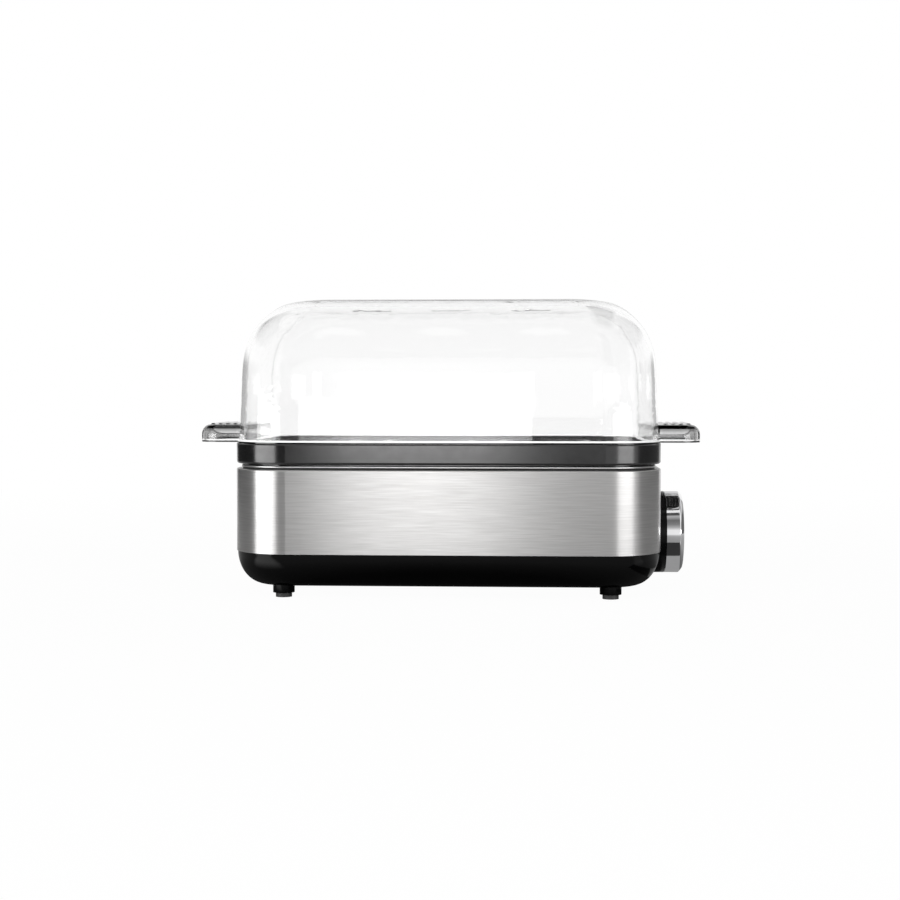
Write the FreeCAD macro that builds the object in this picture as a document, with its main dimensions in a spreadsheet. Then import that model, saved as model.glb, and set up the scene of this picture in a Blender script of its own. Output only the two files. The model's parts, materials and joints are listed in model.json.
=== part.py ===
import FreeCAD
import Part
import PartDesign
import Sketcher

import math
import os
import re

# An electric egg cooker for six eggs, in millimetres. The front faces -Y, the knob is on the +X end, +Z is up
# and the origin is on the table under the middle.

# Driving dimensions: name, value, what it measures
SIZES = (
    ("body_length", 190.0, "steel band, left to right"),
    ("body_width", 110.0, "steel band, front to back"),
    ("body_corner", 25.5, "plan corner radius of the band"),
    ("pan_bottom", 5.2, "height of the pan's underside"),
    ("seam", 20.2, "height where pan and band meet"),
    ("band_top", 57.0, "height of the band's top edge"),
    ("tray_bottom", 59.3, "height of the tray ring's lower edge"),
    ("tray_top", 68.4, "height of the tray ring's upper edge"),
    ("lid_top", 132.6, "overall height"),
    ("pan_inset", 0.4, "pan wall behind the band's face"),
    ("pan_wall", 2.2, "pan wall"),
    ("pan_round", 12.0, "rounding of the pan's lower edge, inwards"),
    ("pan_lip_height", 4.0, "locating lip inside the band"),
    ("pan_lip_gap", 0.2, "play between lip and band"),
    ("pan_vent_length", 26.0, "cooling slot"),
    ("pan_vent_width", 3.0, "cooling slot"),
    ("pan_vent_pitch", 8.0, "spacing of the cooling slots"),
    ("foot_x", 72.5, "foot from the middle, sideways"),
    ("foot_y", 40.0, "foot from the middle, front to back"),
    ("boss_diameter", 9.6, "foot boss on the pan"),
    ("boss_root", 3.2, "foot boss's upper end above the pan's underside"),
    ("pad_diameter", 7.2, "rubber pad"),
    ("pad_thickness", 2.0, "rubber pad below its boss"),
    ("stem_diameter", 4.0, "rubber pad's stem"),
    ("stem_length", 2.5, "rubber pad's stem"),
    ("play", 0.1, "fixing play across a diameter"),
    ("post_x", 50.0, "screw post from the middle, sideways"),
    ("post_y", 37.0, "screw post from the middle, front to back"),
    ("pan_post_diameter", 10.4, "pan's screw post"),
    ("pan_post_root", 1.8, "screw post's lower end above the pan's underside"),
    ("frame_post_diameter", 9.0, "inner frame's screw post"),
    ("screw_diameter", 3.0, "screw thread"),
    ("screw_hole", 3.6, "clearance hole for a screw"),
    ("screw_head", 6.0, "screw head across"),
    ("screw_head_height", 2.2, "screw head"),
    ("screw_socket", 2.6, "hex socket across flats"),
    ("screw_socket_depth", 1.2, "hex socket"),
    ("sink_diameter", 7.4, "recess for a screw head in the pan"),
    ("sink_depth", 4.2, "recess for a screw head in the pan"),
    ("screw_grip", 9.0, "screw thread inside the frame post"),
    ("band_sheet", 0.8, "band sheet"),
    ("band_lip", 5.0, "band's top lip turned inwards"),
    ("band_edge", 0.5, "rounded top edge of the band"),
    ("frame_gap", 0.3, "play between inner frame and band"),
    ("frame_wall", 2.0, "inner frame wall"),
    ("shelf_top", 42.0, "height of the inner frame's shelf"),
    ("shelf_thickness", 2.5, "inner frame's shelf"),
    ("shelf_opening_length", 134.0, "opening for the heater"),
    ("shelf_opening_width", 64.0, "opening for the heater"),
    ("shelf_corner", 12.0, "corner of the heater opening"),
    ("shelf_notch", 86.0, "start of the notch behind the bezel"),
    ("shelf_notch_width", 44.0, "notch behind the bezel"),
    ("seal_thickness", 0.5, "bowl seal"),
    ("seal_width", 2.0, "bowl seal"),
    ("rim_inset", 2.3, "bowl rim behind the band's face"),
    ("rim_thickness", 1.4, "rolled bowl rim"),
    ("rim_round", 0.6, "rounding of the rolled rim"),
    ("bowl_length", 176.0, "inside of the bowl"),
    ("bowl_width", 90.0, "inside of the bowl"),
    ("bowl_corner", 18.0, "plan corner inside the bowl"),
    ("bowl_floor", 44.0, "height of the bowl's floor"),
    ("bowl_sheet", 0.8, "bowl sheet"),
    ("bowl_round", 5.0, "rounding inside the bowl's floor"),
    ("stud_x", 72.0, "stud from the middle, sideways"),
    ("stud_y", 26.0, "stud from the middle, front to back"),
    ("stud_diameter", 4.0, "stud welded under the bowl"),
    ("stud_hole", 4.6, "clearance hole for a stud"),
    ("stud_bottom", 33.5, "height of the studs' lower ends"),
    ("nut_flats", 7.0, "nut across flats"),
    ("nut_height", 3.2, "nut"),
    ("plate_length", 126.0, "heat spreader"),
    ("plate_width", 60.0, "heat spreader"),
    ("plate_corner", 12.0, "heat spreader"),
    ("plate_thickness", 2.5, "heat spreader"),
    ("tube_diameter", 6.4, "heater tube"),
    ("tube_gap", 0.05, "heater tube below the spreader"),
    ("run_y", 20.0, "heater run from the middle"),
    ("run_right", 44.0, "heater tube's ends"),
    ("run_left", -38.0, "centre of the heater's round end"),
    ("pin_diameter", 3.0, "heater cold pin"),
    ("pin_length", 6.0, "heater cold pin"),
    ("spade_length", 7.0, "push-on tab"),
    ("spade_width", 5.0, "push-on tab"),
    ("spade_thickness", 0.8, "push-on tab"),
    ("cutout_flange", 16.0, "cut-out flange across"),
    ("cutout_flange_thickness", 1.2, "cut-out flange"),
    ("cutout_diameter", 12.5, "cut-out can across"),
    ("cutout_height", 8.0, "cut-out can below its flange"),
    ("clamp_length", 34.0, "cut-out clamp"),
    ("clamp_width", 20.0, "cut-out clamp"),
    ("clamp_thickness", 2.0, "cut-out clamp"),
    ("clamp_corner", 4.0, "cut-out clamp"),
    ("clamp_screw_x", 13.0, "clamp screw from the middle"),
    ("clamp_screw_grip", 1.6, "clamp screw inside the spreader"),
    ("fuse_x", 29.0, "middle of the thermal fuse"),
    ("fuse_diameter", 4.6, "thermal fuse"),
    ("fuse_length", 14.0, "thermal fuse"),
    ("fuse_wire", 1.0, "wire at each end of the fuse"),
    ("fuse_wire_length", 5.0, "wire at each end of the fuse"),
    ("clip_length", 6.0, "fuse clip"),
    ("clip_width", 9.0, "fuse clip"),
    ("clip_height", 5.2, "fuse clip"),
    ("shield_length", 130.0, "heat shield's dish"),
    ("shield_width", 62.0, "heat shield's dish"),
    ("shield_corner", 12.0, "heat shield's dish"),
    ("shield_reach", 156.0, "heat shield over its end flanges"),
    ("shield_bottom", 29.0, "height of the heat shield's underside"),
    ("shield_sheet", 0.8, "heat shield sheet"),
    ("window_width", 48.0, "opening for the leads in the shield"),
    ("window_height", 4.7, "opening for the leads in the shield"),
    ("knob_height", 26.2, "height of the knob's axis"),
    ("knob_diameter", 37.5, "knob"),
    ("knob_back", 98.9, "back of the knob from the middle"),
    ("knob_front", 107.2, "front of the knob from the middle"),
    ("knob_skin", 1.3, "chrome cap wall"),
    ("knob_dish", 0.4, "fall of the knob's face to its edge"),
    ("knob_bevel", 2.0, "bevel round the knob's face"),
    ("knob_bevel_depth", 1.6, "bevel round the knob's face"),
    ("knob_round", 0.8, "rounding of the bevel's edges"),
    ("hub_diameter", 11.0, "boss of the knob's core"),
    ("hub_back", 96.6, "back of the core's boss from the middle"),
    ("shaft_diameter", 6.0, "control shaft"),
    ("shaft_start", 82.0, "inner end of the control shaft"),
    ("shaft_end", 102.6, "outer end of the control shaft"),
    ("flat_start", 96.0, "start of the shaft's flat"),
    ("flat_offset", 1.8, "shaft's flat from its axis"),
    ("bezel_diameter", 37.6, "bezel"),
    ("bezel_hole", 38.0, "hole for the bezel"),
    ("bezel_back", 88.0, "back of the bezel from the middle"),
    ("bezel_skirt", 84.0, "back of the bezel's lower half from the middle"),
    ("bezel_cut", 83.0, "depth of the hole for the bezel from the middle"),
    ("bezel_front", 98.5, "front of the bezel from the middle"),
    ("bezel_wall", 2.2, "bezel wall and face"),
    ("bezel_bore", 14.0, "hole in the bezel's face"),
    ("bezel_flange", 42.0, "bezel's inner flange across"),
    ("bezel_flange_thickness", 1.5, "bezel's inner flange"),
    ("bezel_flange_bottom", 18.2, "flat underside of the inner flange"),
    ("board_post_y", 12.5, "board post from the knob's axis"),
    ("board_post_diameter", 6.0, "board post on the bezel"),
    ("board_x", 78.4, "inner face of the circuit board"),
    ("board_thickness", 1.6, "circuit board"),
    ("board_width", 48.0, "circuit board"),
    ("board_bottom", 12.0, "height of the circuit board's lower edge"),
    ("board_top", 37.5, "height of the circuit board's upper edge"),
    ("board_screw", 2.5, "board screw thread"),
    ("board_screw_head", 5.0, "board screw head across"),
    ("board_screw_grip", 7.0, "board screw inside its post"),
    ("pot_side", 12.0, "rotary control's case"),
    ("pot_depth", 7.0, "rotary control's case"),
    ("bush_diameter", 8.0, "rotary control's bush"),
    ("bush_length", 5.0, "rotary control's bush"),
    ("relay_depth", 12.0, "relay"),
    ("relay_width", 16.0, "relay"),
    ("relay_height", 12.0, "relay"),
    ("relay_bottom", 21.0, "height of the relay's underside"),
    ("capacitor_depth", 6.0, "capacitor"),
    ("capacitor_width", 10.5, "capacitor"),
    ("capacitor_height", 7.0, "capacitor"),
    ("capacitor_y", 10.5, "near side of the capacitor"),
    ("capacitor_bottom", 29.5, "height of the capacitor's underside"),
    ("buzzer_diameter", 10.0, "buzzer"),
    ("buzzer_depth", 6.0, "buzzer"),
    ("buzzer_mouth", 2.0, "sound hole of the buzzer"),
    ("buzzer_y", -16.0, "buzzer's middle"),
    ("buzzer_z", 17.5, "height of the buzzer's middle"),
    ("gland_x", 30.0, "cord gland from the middle"),
    ("gland_z", 14.5, "height of the cord gland"),
    ("gland_diameter", 9.0, "cord gland"),
    ("gland_bore", 6.4, "bore for the cord"),
    ("gland_start", 46.0, "inner end of the cord gland"),
    ("gland_flange", 13.0, "gland's inner flange across"),
    ("gland_flange_thickness", 2.0, "gland's inner flange"),
    ("gland_flange_bottom", 9.8, "flat underside of the gland's flange"),
    ("block_length", 22.0, "terminal block"),
    ("block_width", 16.0, "terminal block"),
    ("block_height", 12.0, "terminal block"),
    ("block_y", 14.0, "near side of the terminal block"),
    ("block_pitch", 7.0, "spacing of the terminals"),
    ("block_well", 4.0, "screw well"),
    ("block_well_depth", 5.0, "screw well"),
    ("block_hole", 2.6, "wire hole"),
    ("lead_diameter", 2.0, "insulated lead"),
    ("lead_z", 13.5, "height of the mains leads"),
    ("heater_lead_z", 24.0, "height of the heater leads at the board"),
    ("heater_lead_x", 70.5, "upright run of the heater leads"),
    ("mains_lead_y", 2.0, "first mains lead along the board"),
    ("mains_lead_pitch", 6.0, "spacing of the mains leads"),
    ("tray_wall", 2.8, "tray ring wall"),
    ("tray_draft", 0.6, "lean of the tray ring's wall, degrees"),
    ("tray_edge", 0.7, "rounded upper edge of the tray ring"),
    ("tray_foot_edge", 1.0, "rounded lower edge of the tray ring"),
    ("tray_seat", 5.0, "step that seats in the bowl rim"),
    ("tray_step", 2.4, "wall of that step"),
    ("tray_floor", 66.4, "height of the tray's plate"),
    ("tray_plate", 1.6, "tray's plate"),
    ("seat_pitch", 55.0, "spacing of the eggs in a row"),
    ("seat_row", 24.0, "egg row from the middle"),
    ("seat_shift", 11.4, "sideways shift of each row"),
    ("seat_slope", 38.66, "slope of an egg seat, degrees"),
    ("seat_bottom", 61.4, "height of the egg seats' lower edges"),
    ("seat_bead", 1.2, "raised bead round an egg seat"),
    ("seat_diameter", 40.4, "egg seat at the top of its bead"),
    ("seat_cup", 42.0, "outside of an egg seat under its bead"),
    ("bead_diameter", 44.0, "outside of the bead"),
    ("steam_hole", 5.0, "steam hole in the tray"),
    ("lid_length", 188.0, "lid at its foot"),
    ("lid_width", 108.0, "lid at its foot"),
    ("lid_corner", 24.5, "plan corner of the lid"),
    ("lid_wall", 2.2, "lid wall"),
    ("lid_round", 28.5, "rounding of the lid's roof edge, inwards"),
    ("lid_rise", 32.0, "rounding of the lid's roof edge, upwards"),
    ("lid_draft", 1.2, "lean of the lid's wall"),
    ("lid_softening", 0.45, "shrink of the plan corner towards the roof"),
    ("lid_flange", 0.6, "flange beyond the lid's wall"),
    ("lid_flange_thickness", 1.0, "lid flange"),
    ("lid_lip_depth", 1.4, "locating lip below the flange"),
    ("lid_lip_wall", 1.6, "locating lip"),
    ("lid_lip_gap", 0.3, "play between locating lip and tray"),
    ("tab_end", 113.3, "outer end of a handle tab"),
    ("tab_root", 93.0, "root of a handle tab in the lid's wall"),
    ("tab_width", 56.0, "handle tab, front to back"),
    ("tab_top", 76.3, "height of the handle tab"),
    ("tab_corner", 9.0, "plan corner of a handle tab"),
    ("tab_round", 4.4, "rounding of the tab's upper edge"),
    ("tab_hollow", 94.8, "start of the hollow under a tab"),
    ("grip_first", 98.0, "first grip rib from the middle"),
    ("grip_pitch", 3.4, "spacing of the grip ribs"),
    ("grip_width", 1.5, "grip rib"),
    ("grip_length", 40.0, "grip rib"),
    ("grip_height", 0.5, "grip rib"),
    ("vent_length", 17.5, "steam slot in the roof"),
    ("vent_width", 2.2, "steam slot in the roof"),
    ("vent_pitch", 37.0, "spacing of the steam slots"),
)
GRIP_RIBS = 4
PAN_VENTS = 5
LID_WALL_STEPS = 4
ROUND_ANGLES = (18, 36, 54, 72, 90)
SLOT_CORNER = 0.48
BEND_SHARE = 0.45
SIDES = (-1, 1)
CORNERS = tuple((x, y) for x in SIDES for y in SIDES)

# Heights and places worked out from the driving dimensions
FRAME_BOTTOM = "seam + pan_lip_height"
SHELF_UNDER = "shelf_top - shelf_thickness"
RIM_BOTTOM = "band_top + seal_thickness"
RIM_TOP = "band_top + seal_thickness + rim_thickness"
BOWL_UNDER = "bowl_floor - bowl_sheet"
PLATE_UNDER = "bowl_floor - bowl_sheet - plate_thickness"
TUBE_AXIS = f"{PLATE_UNDER} - tube_gap - tube_diameter / 2"
FUSE_AXIS = f"{PLATE_UNDER} - fuse_diameter / 2 - play"
BOARD_FRONT = "board_x + board_thickness"
CAP_INSIDE = "knob_front - knob_dish - knob_bevel_depth"
PAN_FLOOR = "pan_bottom + pan_wall"

Vector = FreeCAD.Vector
UP = Vector(0, 0, 1)

doc = FreeCAD.newDocument("egg_cooker")
sheet = doc.addObject("Spreadsheet::Sheet", "Sizes")
for row, (alias, value, note) in enumerate(SIZES, start=1):
    sheet.set(f"A{row}", note)
    sheet.set(f"B{row}", str(value))
    sheet.setAlias(f"B{row}", alias)
doc.recompute()
ALIASES = {alias for alias, _, _ in SIZES}


# Sizes read from the sheet

def formula(text):
    """The text with every size name pointing at its cell."""
    return re.sub(r"[a-z_]+", lambda word: cell_name(word.group()), text)


def cell_name(word):
    return f"Sizes.{word}" if word in ALIASES else word


def number(text):
    return float(sheet.evalExpression(formula(text)))


def bind(item, **properties):
    for name, text in properties.items():
        item.setExpression(name, formula(text))


def times(sign, text):
    return f"{sign} * ({text})"


# Sketches

def new_body(name):
    body = doc.addObject("PartDesign::Body", name)
    body.Label = name
    return body


def new_sketch(body, name, role="XY_Plane", offset="0", rise="0"):
    """A sketch parallel to an origin plane, moved along the plane's normal and up in the plane."""
    sketch = body.newObject("Sketcher::SketchObject", f"{body.Name}_{name}")
    plane = next(item for item in body.Origin.OriginFeatures if item.Role == role)
    sketch.AttachmentSupport = (plane, [""])
    sketch.MapMode = "FlatFace"
    sketch.setExpression("AttachmentOffset.Base.z", formula(offset))
    sketch.setExpression("AttachmentOffset.Base.y", formula(rise))
    return sketch


def dimension(sketch, kind, text, *where):
    index = sketch.addConstraint(Sketcher.Constraint(kind, *where, number(text)))
    sketch.setExpression(f"Constraints[{index}]", formula(text))


def place(sketch, geometry, point, x, y):
    """Fix a point at x, y from the sketch's origin."""
    for kind, axis, text in (("DistanceX", -2, x), ("DistanceY", -1, y)):
        if number(text) == 0:
            sketch.addConstraint(Sketcher.Constraint("PointOnObject", geometry, point, axis))
        else:
            dimension(sketch, kind, text, -1, 1, geometry, point)


def draw_circle(sketch, x, y, diameter):
    centre = Vector(number(x), number(y), 0)
    circle = sketch.addGeometry(Part.Circle(centre, UP, number(diameter) / 2), False)
    place(sketch, circle, 3, x, y)
    dimension(sketch, "Diameter", diameter, circle)


def draw_polygon(sketch, points):
    """A closed outline of straight lines through points given as pairs of formulas."""
    corners = [Vector(number(x), number(y), 0) for x, y in points]
    count = len(corners)
    lines = [
        sketch.addGeometry(Part.LineSegment(corners[i], corners[(i + 1) % count]), False)
        for i in range(count)
    ]
    for i in range(count):
        sketch.addConstraint(Sketcher.Constraint("Coincident", lines[i - 1], 2, lines[i], 1))
        place(sketch, lines[i], 1, *points[i])


def draw_rectangle(sketch, left, right, bottom, top):
    draw_polygon(sketch, ((left, bottom), (right, bottom), (right, top), (left, top)))


def draw_rounded(sketch, length, width, corner, x="0", y="0"):
    """A rectangle with round corners, about the point x, y."""
    half_length = number(length) / 2
    half_width = number(width) / 2
    radius = number(corner)
    middle = Vector(number(x), number(y), 0)
    centre = sketch.addGeometry(Part.Point(middle), True)
    place(sketch, centre, 1, x, y)
    first = centre + 1
    straight = (half_length - radius, half_width - radius)
    for i in range(4):
        turn = FreeCAD.Rotation(UP, 90 * i)
        run, reach = straight if i % 2 == 0 else straight[::-1]
        start = turn.multVec(Vector(-run, -reach - radius, 0))
        end = turn.multVec(Vector(run, -reach - radius, 0))
        pivot = turn.multVec(Vector(run, -reach, 0))
        angle = math.radians(90 * i - 90)
        circle = Part.Circle(middle + pivot, UP, radius)
        sketch.addGeometry(Part.LineSegment(middle + start, middle + end), False)
        sketch.addGeometry(Part.ArcOfCircle(circle, angle, angle + math.pi / 2), False)
    for i in range(8):
        sketch.addConstraint(Sketcher.Constraint("Tangent", first + i, 2, first + (i + 1) % 8, 1))
    for i in (0, 4):
        sketch.addConstraint(Sketcher.Constraint("Horizontal", first + i))
        sketch.addConstraint(Sketcher.Constraint("Vertical", first + i + 2))
    for i in (3, 5, 7):
        sketch.addConstraint(Sketcher.Constraint("Equal", first + 1, first + i))
    sketch.addConstraint(Sketcher.Constraint("Symmetric", first, 1, first + 4, 1, centre, 1))
    dimension(sketch, "DistanceX", length, first + 6, 1, first + 2, 1)
    dimension(sketch, "DistanceY", width, first, 1, first + 4, 2)
    dimension(sketch, "Radius", corner, first + 1)


def slot_corner(width):
    """The corner radius of a slot or rib whose ends are all but half round."""
    return f"{SLOT_CORNER} * {width}"


def draw_body_outline(sketch, inset):
    """The body's plan outline, moved inwards."""
    draw_rounded(
        sketch,
        f"body_length - 2 * ({inset})",
        f"body_width - 2 * ({inset})",
        f"body_corner - ({inset})",
    )


def draw_hexagon(sketch, x, y, flats):
    """A hexagon with two flats level, about the point x, y."""
    middle = Vector(number(x), number(y), 0)
    across = number(flats) / math.cos(math.pi / 6)
    circle = sketch.addGeometry(Part.Circle(middle, UP, across / 2), True)
    place(sketch, circle, 3, x, y)
    dimension(sketch, "Diameter", f"{flats} / cos(30 deg)", circle)
    corners = [
        middle + FreeCAD.Rotation(UP, 60 * i).multVec(Vector(across / 2, 0, 0)) for i in range(6)
    ]
    lines = [
        sketch.addGeometry(Part.LineSegment(corners[i], corners[(i + 1) % 6]), False) for i in range(6)
    ]
    for i in range(6):
        sketch.addConstraint(Sketcher.Constraint("Coincident", lines[i - 1], 2, lines[i], 1))
        sketch.addConstraint(Sketcher.Constraint("PointOnObject", lines[i], 1, circle))
    for i in range(1, 5):
        sketch.addConstraint(Sketcher.Constraint("Equal", lines[0], lines[i]))
    sketch.addConstraint(Sketcher.Constraint("Horizontal", lines[1]))


def draw_d_shape(sketch, diameter, flat):
    """A round section about the sketch's origin with one flat to its right."""
    radius = number(diameter) / 2
    half_angle = math.acos(number(flat) / radius)
    circle = Part.Circle(Vector(0, 0, 0), UP, radius)
    arc = sketch.addGeometry(Part.ArcOfCircle(circle, half_angle, 2 * math.pi - half_angle), False)
    upper = circle.value(half_angle)
    lower = circle.value(-half_angle)
    chord = sketch.addGeometry(Part.LineSegment(lower, upper), False)
    sketch.addConstraint(Sketcher.Constraint("Coincident", arc, 2, chord, 1))
    sketch.addConstraint(Sketcher.Constraint("Coincident", chord, 2, arc, 1))
    sketch.addConstraint(Sketcher.Constraint("Coincident", arc, 3, -1, 1))
    sketch.addConstraint(Sketcher.Constraint("Vertical", chord))
    dimension(sketch, "Diameter", diameter, arc)
    dimension(sketch, "DistanceX", flat, -1, 1, chord, 1)


# Features

def add_feature(body, kind, name):
    return body.newObject(f"PartDesign::{kind}", f"{body.Name}_{name}")


def pad(body, sketch, name, length, down=False, taper=None):
    feature = add_feature(body, "Pad", name)
    feature.Profile = sketch
    feature.Reversed = down
    bind(feature, Length=length)
    if taper:
        bind(feature, TaperAngle=taper)
    doc.recompute()
    return feature


def pocket(body, sketch, name, length, up=False, taper=None):
    """A cut along the sketch's normal, or against it, that has to take something away."""
    before = body.Shape.Volume
    feature = add_feature(body, "Pocket", name)
    feature.Profile = sketch
    feature.Reversed = up
    bind(feature, Length=length)
    if taper:
        bind(feature, TaperAngle=taper)
    doc.recompute()
    if body.Shape.Volume >= before:
        raise RuntimeError(f"{feature.Name} cuts nothing")
    return feature


def revolve(body, sketch, name, axis):
    feature = add_feature(body, "Revolution", name)
    feature.Profile = sketch
    feature.ReferenceAxis = (sketch, [axis])
    feature.Angle = 360
    doc.recompute()
    return feature


def loft(body, sketches, name, kind):
    feature = add_feature(body, kind, name)
    feature.Profile = sketches[0]
    feature.Sections = sketches[1:]
    doc.recompute()
    return feature


def fillet(body, name, radius, wanted):
    """Round the edges of the body's last feature that the test picks."""
    base = body.Tip
    edges = [f"Edge{i}" for i, edge in enumerate(base.Shape.Edges, start=1) if wanted(edge.BoundBox)]
    feature = add_feature(body, "Fillet", name)
    feature.Base = (base, edges)
    bind(feature, Radius=radius)
    doc.recompute()
    return feature


def flat_at(level):
    """A test for edges that lie in the plane at this height."""
    height = number(level)
    return lambda box: abs(box.ZMin - height) < 1e-4 and abs(box.ZMax - height) < 1e-4


def draw_at_corners(sketch, x, y, diameter):
    for side, end in CORNERS:
        draw_circle(sketch, times(side, x), times(end, y), diameter)


# Part primitives

def box(name, x, y, z, length, width, height):
    """A box from its corner nearest the left, the front and the floor."""
    item = doc.addObject("Part::Box", name)
    bind(item, Length=length, Width=width, Height=height)
    return put(item, x, y, z)


def cylinder(name, x, y, z, diameter, height, axis=UP):
    item = doc.addObject("Part::Cylinder", name)
    bind(item, Radius=f"({diameter}) / 2", Height=height)
    item.Placement = FreeCAD.Placement(Vector(), FreeCAD.Rotation(UP, axis))
    return put(item, x, y, z)


def put(item, x, y, z):
    for letter, text in zip("xyz", (x, y, z)):
        item.setExpression(f"Placement.Base.{letter}", formula(text))
    return item


def fuse(name, *items):
    result = items[0]
    for i, item in enumerate(items[1:], start=1):
        joined = doc.addObject("Part::Fuse", name if i == len(items) - 1 else f"{name}_join_{i}")
        joined.Base = result
        joined.Tool = item
        result = joined
    return result


def cut(name, base, *tools):
    result = base
    for i, tool in enumerate(tools, start=1):
        left = doc.addObject("Part::Cut", name if i == len(tools) else f"{name}_cut_{i}")
        left.Base = result
        left.Tool = tool
        result = left
    return result


def group(name, items):
    """Separate solids that share one node."""
    item = doc.addObject("Part::Compound", name)
    item.Links = items
    return item


ALONG_X = Vector(1, 0, 0)
ALONG_Y = Vector(0, 1, 0)


# Lid and egg tray

def draw_lid_section(sketch, inset, wall):
    shrink = f"2 * ({inset} + {wall})"
    draw_rounded(
        sketch,
        f"lid_length - {shrink}",
        f"lid_width - {shrink}",
        f"lid_corner - lid_softening * ({inset}) - {wall} / 2",
    )


def lid_loft(body, name, wall, kind):
    """Sections from the lid's foot, up the leaning wall and round the roof's edge."""
    spring = "lid_top - lid_rise"
    levels = []
    for step in range(LID_WALL_STEPS + 1):
        share = f"{step} / {LID_WALL_STEPS}"
        levels.append((f"tray_top + ({spring} - tray_top) * {share}", f"lid_draft * {share}"))
    for angle in ROUND_ANGLES:
        rise = f"{spring} + (lid_rise - {wall}) * sin({angle} deg)"
        inset = f"lid_draft + (lid_round - {wall}) * (1 - cos({angle} deg))"
        levels.append((rise, inset))
    sketches = []
    for i, (height, inset) in enumerate(levels):
        sketch = new_sketch(body, f"{name}_section_{i}", offset=height)
        draw_lid_section(sketch, inset, wall)
        sketches.append(sketch)
    return loft(body, sketches, name, kind)


def draw_tab(sketch, side, start, end, width, corner):
    """A handle tab's plan outline: square at its root, round at its outer corners."""
    tip = number(end) * side
    root = number(start) * side
    half = number(width) / 2
    radius = number(corner)
    inner = tip - radius * side
    front = Part.LineSegment(Vector(root, -half, 0), Vector(inner, -half, 0))
    outer = Part.LineSegment(Vector(tip, radius - half, 0), Vector(tip, half - radius, 0))
    back = Part.LineSegment(Vector(inner, half, 0), Vector(root, half, 0))
    foot = Part.LineSegment(Vector(root, half, 0), Vector(root, -half, 0))
    bend = radius * math.sqrt(0.5)
    arcs = [
        Part.Arc(
            Vector(inner, end_side * half, 0),
            Vector(inner + bend * side, end_side * (half - radius + bend), 0),
            Vector(tip, end_side * (half - radius), 0),
        )
        for end_side in SIDES
    ]
    first = sketch.GeometryCount
    sketch.addGeometry([front, arcs[0], outer, arcs[1], back, foot], False)
    place(sketch, first, 1, times(side, start), f"-({width}) / 2")
    place(sketch, first, 2, times(side, f"{end} - ({corner})"), f"-({width}) / 2")
    place(sketch, first + 2, 1, times(side, end), f"({corner}) - ({width}) / 2")
    place(sketch, first + 2, 2, times(side, end), f"({width}) / 2 - ({corner})")
    place(sketch, first + 4, 1, times(side, f"{end} - ({corner})"), f"({width}) / 2")
    place(sketch, first + 4, 2, times(side, start), f"({width}) / 2")
    join_ends(sketch, first, 6)
    for arc in (first + 1, first + 3):
        dimension(sketch, "Radius", corner, arc)


def join_ends(sketch, first, count):
    """Make each piece of an outline end where the next one starts, whichever way each was drawn."""
    for i in range(count):
        here = first + i
        there = first + (i + 1) % count
        pairs = [(a, b) for a in (1, 2) for b in (1, 2)]
        gap = [sketch.getPoint(here, a).distanceToPoint(sketch.getPoint(there, b)) for a, b in pairs]
        a, b = pairs[gap.index(min(gap))]
        sketch.addConstraint(Sketcher.Constraint("Coincident", here, a, there, b))


def make_lid():
    body = new_body("lid")
    tabs = new_sketch(body, "tabs", offset="tray_top")
    for side in SIDES:
        draw_tab(tabs, side, "tab_root", "tab_end", "tab_width", "tab_corner")
    pad(body, tabs, "handle_tabs", "tab_top - tray_top")
    top = flat_at("tab_top")
    root = number("tab_root + play")
    fillet(body, "tab_edges", "tab_round", lambda edge: top(edge) and abs(edge.Center.x) > root)
    lid_loft(body, "outside", "0", "AdditiveLoft")
    hollows = new_sketch(body, "hollows", offset="tray_top")
    for side in SIDES:
        inner_width = "tab_width - 2 * lid_wall"
        draw_tab(hollows, side, "tab_hollow", "tab_end - lid_wall", inner_width, "tab_corner - lid_wall")
    pocket(body, hollows, "tab_hollows", "tab_top - tray_top - lid_wall", up=True)
    ribs = new_sketch(body, "ribs", offset="tab_top")
    for side in SIDES:
        for i in range(GRIP_RIBS):
            middle = times(side, f"grip_first + {i} * grip_pitch")
            draw_rounded(ribs, "grip_width", "grip_length", slot_corner("grip_width"), x=middle)
    pad(body, ribs, "grip_ribs", "grip_height")
    lid_loft(body, "inside", "lid_wall", "SubtractiveLoft")
    lip_inset = "tray_wall + lid_lip_gap"
    flange_inset = "(body_length - lid_length) / 2 - lid_flange"
    flange = new_sketch(body, "flange", offset="tray_top")
    draw_body_outline(flange, flange_inset)
    draw_body_outline(flange, f"{lip_inset} + lid_lip_wall")
    pad(body, flange, "foot_flange", "lid_flange_thickness")
    lip = new_sketch(body, "lip", offset="tray_top")
    draw_body_outline(lip, lip_inset)
    draw_body_outline(lip, f"{lip_inset} + lid_lip_wall")
    pad(body, lip, "locating_lip", "lid_lip_depth", down=True)
    vents = new_sketch(body, "vents", offset="lid_top")
    for i in (-1, 0, 1):
        draw_rounded(vents, "vent_length", "vent_width", slot_corner("vent_width"), x=f"{i} * vent_pitch")
    pocket(body, vents, "steam_slots", "2 * lid_wall")
    return body


def seat_places():
    """The six egg seats: two rows of three, each row shifted the other way."""
    places = []
    for row in SIDES:
        for i in (-1, 0, 1):
            places.append((f"{-row} * seat_shift + {i} * seat_pitch", f"{row} * seat_row"))
    return places


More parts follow.
